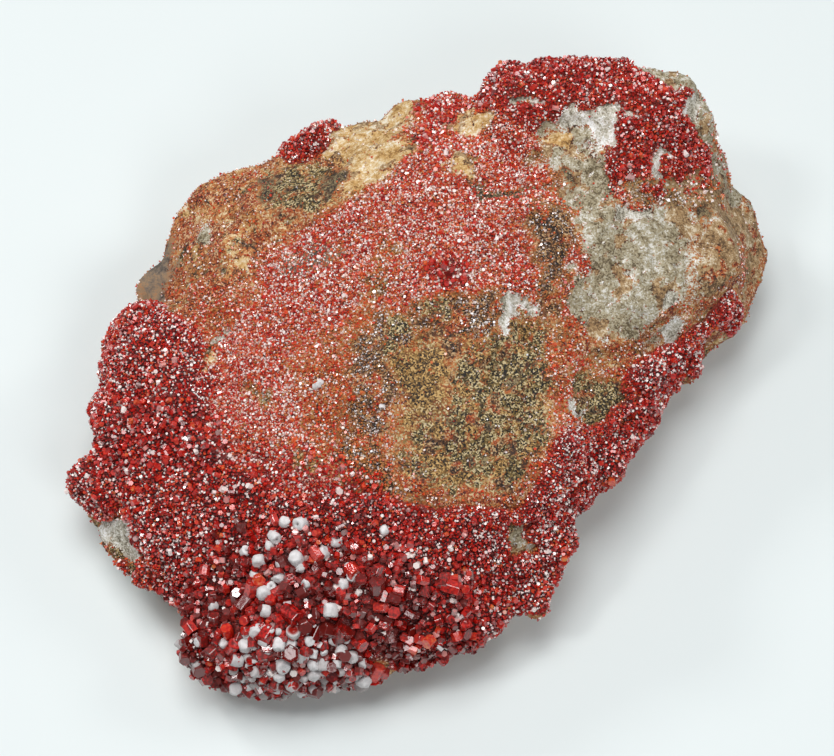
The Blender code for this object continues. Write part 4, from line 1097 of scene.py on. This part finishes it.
LOW_COAT_SHADE = ((4, 11, 17), (0.95, 0.6, 0.1))  # painted shade: the lower a crystal sits, the darker and browner its coat may be
# Hollow ends, sunk and painted dark as shade, and bare ends: radius, softness of the edge and depth, in
# sizes.
HOLLOW_END = (0.085, 0.04, 0.22)
BARE_END = (0.37, 0.05, 0.05)
HOLLOW_UPPER, HOLLOW_FRONT, BARE_FRONT = 0.15, 0.03, 0.22  # shares of the crystals
CLEARLY_HOLLOW = 20  # the upper group's largest crystal is hollow too
ENDS_TOWARDS = (0, -0.3, 0.95)  # the side to which hollow and bare ends are turned
HIGH_ABOVE = 80  # a height over the whole specimen
FRONT_LOW, FRONT_OVERHANG = 3.5, -0.35  # the front group stops this low, and where the crust hangs over

# Snow-white coat: chalky and uneven, over crystals whose bare ends are red, with painted shade that makes it
# darker and browner on the lower crystals and dark in the hollow ends.
white_coat, tree, shader, where = new_material("white coat on vanadinite")
COAT_WHITES = ("#A6A09E", "#FFFEFE")
COAT_GRAIN, COAT_GRAIN_RISE = 0.8, 0.15  # chalk's own grain is too fine to show, so this is coarser
# Colours laid over the coat: painted shade on the lower crystals and in the hollow ends, and the red of the
# bare ends.
BARE_ENDS_AND_SHADE = {"low_coat_shade": "#75615B", "bare_end": "#8E1A12", "shaded_hollow_end": "#1C1614"}
DULL, GLOSSY = 0.6, 0.18
chalk = add_node(tree, "TexNoise", {"Vector": where, "Scale": 1 / (COAT_GRAIN * MM), "Detail": 4.0})
chalk = chalk.outputs["Fac"]
low, high = (linear(white) for white in COAT_WHITES)
coat = add_node(tree, "Mix", {0: chalk, 6: low, 7: high}, data_type="RGBA").outputs[2]
amount = {}
for name, mark_colour in BARE_ENDS_AND_SHADE.items():
    amount[name] = add_node(tree, "Attribute", attribute_name=name).outputs["Fac"]
    coat = add_node(tree, "Mix", {0: amount[name], 6: coat, 7: linear(mark_colour)}, data_type="RGBA").outputs[2]
tree.links.new(coat, shader.inputs["Base Color"])
dull = add_node(tree, "MapRange", {"Value": amount["bare_end"], "To Min": DULL, "To Max": GLOSSY})
tree.links.new(dull.outputs[0], shader.inputs["Roughness"])
chalky = add_node(tree, "Bump", {"Height": chalk, "Distance": COAT_GRAIN_RISE * MM, "Strength": 0.6})
tree.links.new(chalky.outputs[0], shader.inputs["Normal"])

# Its shape: a round prism with rings in its ends and its side, pulled in to a six-sided one with soft edges.
COAT_SIDES, COAT_RINGS, COAT_RING = 18, 3, 0.13
bm = bmesh.new()
bmesh.ops.create_cone(bm, cap_ends=True, segments=COAT_SIDES, radius1=0.5, radius2=0.5, depth=1)
ends = [face for face in bm.faces if len(face.verts) == COAT_SIDES]
upright = [edge for edge in bm.edges if abs(edge.verts[0].co.z - edge.verts[1].co.z) > 0.5]
for _ in range(COAT_RINGS):
    bmesh.ops.inset_individual(bm, faces=ends, thickness=COAT_RING)
bmesh.ops.poke(bm, faces=ends)
bmesh.ops.subdivide_edges(bm, edges=upright, cuts=COAT_RINGS)
ball = np.array([vert.co for vert in bm.verts])
ball_faces = [[vert.index for vert in face.verts] for face in bm.faces]
bm.free()
sides = np.array([(math.cos(math.radians(turn)), math.sin(math.radians(turn)), 0) for turn in (0, 60, 120)])
flats = np.abs(ball @ sides.T) / (0.5 * math.cos(math.radians(30)))
reach = (flats**ROUNDING).sum(axis=1) + np.abs(ball[:, 2] / 0.5) ** ROUNDING
rounded = ball / (reach ** (1 / ROUNDING))[:, None]
end_radius = np.where(rounded[:, 2] > 0, np.hypot(rounded[:, 0], rounded[:, 1]), 1)
SHAPES["coated"] = (rounded, ball_faces)

outer_surface = BVHTree.FromPolygons(outer.tolist(), triangles.tolist())


def coat_crystals(name, feet, normals, sizes, node, hollow, bare):
    """A piece of white-coated crystals that stand on their feet, with the node that it stands for."""
    count = len(feet)
    turn = turned(normals, draw, TILT)
    tall = sizes * draw.uniform(*WHITE_TALL, count)
    middle = feet + normals * (sizes * WHITE_RISE)[:, None]
    hidden = turn[:, :, 2] @ np.array(ENDS_TOWARDS) < 0
    turn[hidden] = turn[hidden] @ np.diag((1, -1, -1))
    # Painted shade: the lower a crystal sits, the darker and browner its coat may be.
    thin = draw.random(count) * np.interp(feet[:, 2], *LOW_COAT_SHADE)
    stretch = np.column_stack([sizes, sizes, tall])
    mesh = joined_shapes(name, "coated", middle, turn, stretch, {"low_coat_shade": thin})
    corners = numbers(mesh.vertices, "co").astype(float) / MM
    outward = numbers(mesh.vertex_normals, "vector").astype(float)
    rise = COAT_LUMPS[1] * grain(corners, COAT_LUMPS[0], seed=31)
    # Hollow ends are sunk and painted dark as shade; bare ends are sunk a little and show the red.
    for end, members, shape in (("shaded_hollow_end", hollow, HOLLOW_END), ("bare_end", bare, BARE_END)):
        radius, soft, depth = shape
        there = np.where(members[:, None], smooth_step(radius + soft, radius - soft, end_radius), 0).ravel()
        store(mesh, end, there)
        rise -= np.repeat(sizes, len(ball)) * depth * there
    corners += outward * rise[:, None]
    mesh.vertices.foreach_set("co", (corners * MM).astype(np.float32).ravel())
    mesh.shade_smooth()
    mesh.update()
    piece = show(name, mesh, white_coat)
    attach(piece, "root")
    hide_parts(node)


def standing(x, y):
    """The place and normal of the outer surface straight below a point on the plan."""
    place, normal, _, _ = outer_surface.ray_cast(Vector((x, y, HIGH_ABOVE)), Vector((0, 0, -1)))
    return place, normal


def list_feet(crystals):
    """Feet, normals and sizes of crystals listed by their place on the plan."""
    found = [standing(x, y) + (size,) for x, y, size in crystals]
    found = [item for item in found if item[0] is not None]
    return tuple(np.array([item[i] for item in found], float) for i in range(3))


feet, normals, sizes = list_feet(WHITE_UPPER)
hollow = draw.random(len(feet)) < HOLLOW_UPPER
hollow[CLEARLY_HOLLOW] = True
none_bare = np.zeros(len(feet), bool)
coat_crystals("white_coated_upper", feet, normals, sizes, "white_crystals_upper", hollow, none_bare)

inside = depth_in(WHITE_FRONT_OUTLINE, foot[:, 0], foot[:, 1]) > 0
inside &= (foot[:, 2] > FRONT_LOW) & (foot_normal[:, 2] > FRONT_OVERHANG)
candidates = draw.permutation(np.flatnonzero(inside))
taken = []
for index, wide in zip(candidates, draw.uniform(*WHITE_FRONT_SIZE, len(candidates))):
    gaps = (
        np.linalg.norm(foot[index] - foot[other]) - WHITE_FRONT_GAP * (wide + reach) / 2
        for other, reach in taken
    )
    if all(gap > 0 for gap in gaps):
        taken.append((index, wide))
front = np.array([index for index, _ in taken])
left_feet, left_normals, left_sizes = list_feet(WHITE_LEFT)
feet = np.concatenate([foot[front], left_feet])
normals = np.concatenate([foot_normal[front], left_normals])
sizes = np.concatenate([[wide for _, wide in taken], left_sizes])
hollow = draw.random(len(feet)) < HOLLOW_FRONT
bare_ends = ~hollow & (draw.random(len(feet)) < BARE_FRONT)
coat_crystals("white_coated_front", feet, normals, sizes, "white_crystals_front", hollow, bare_ends)
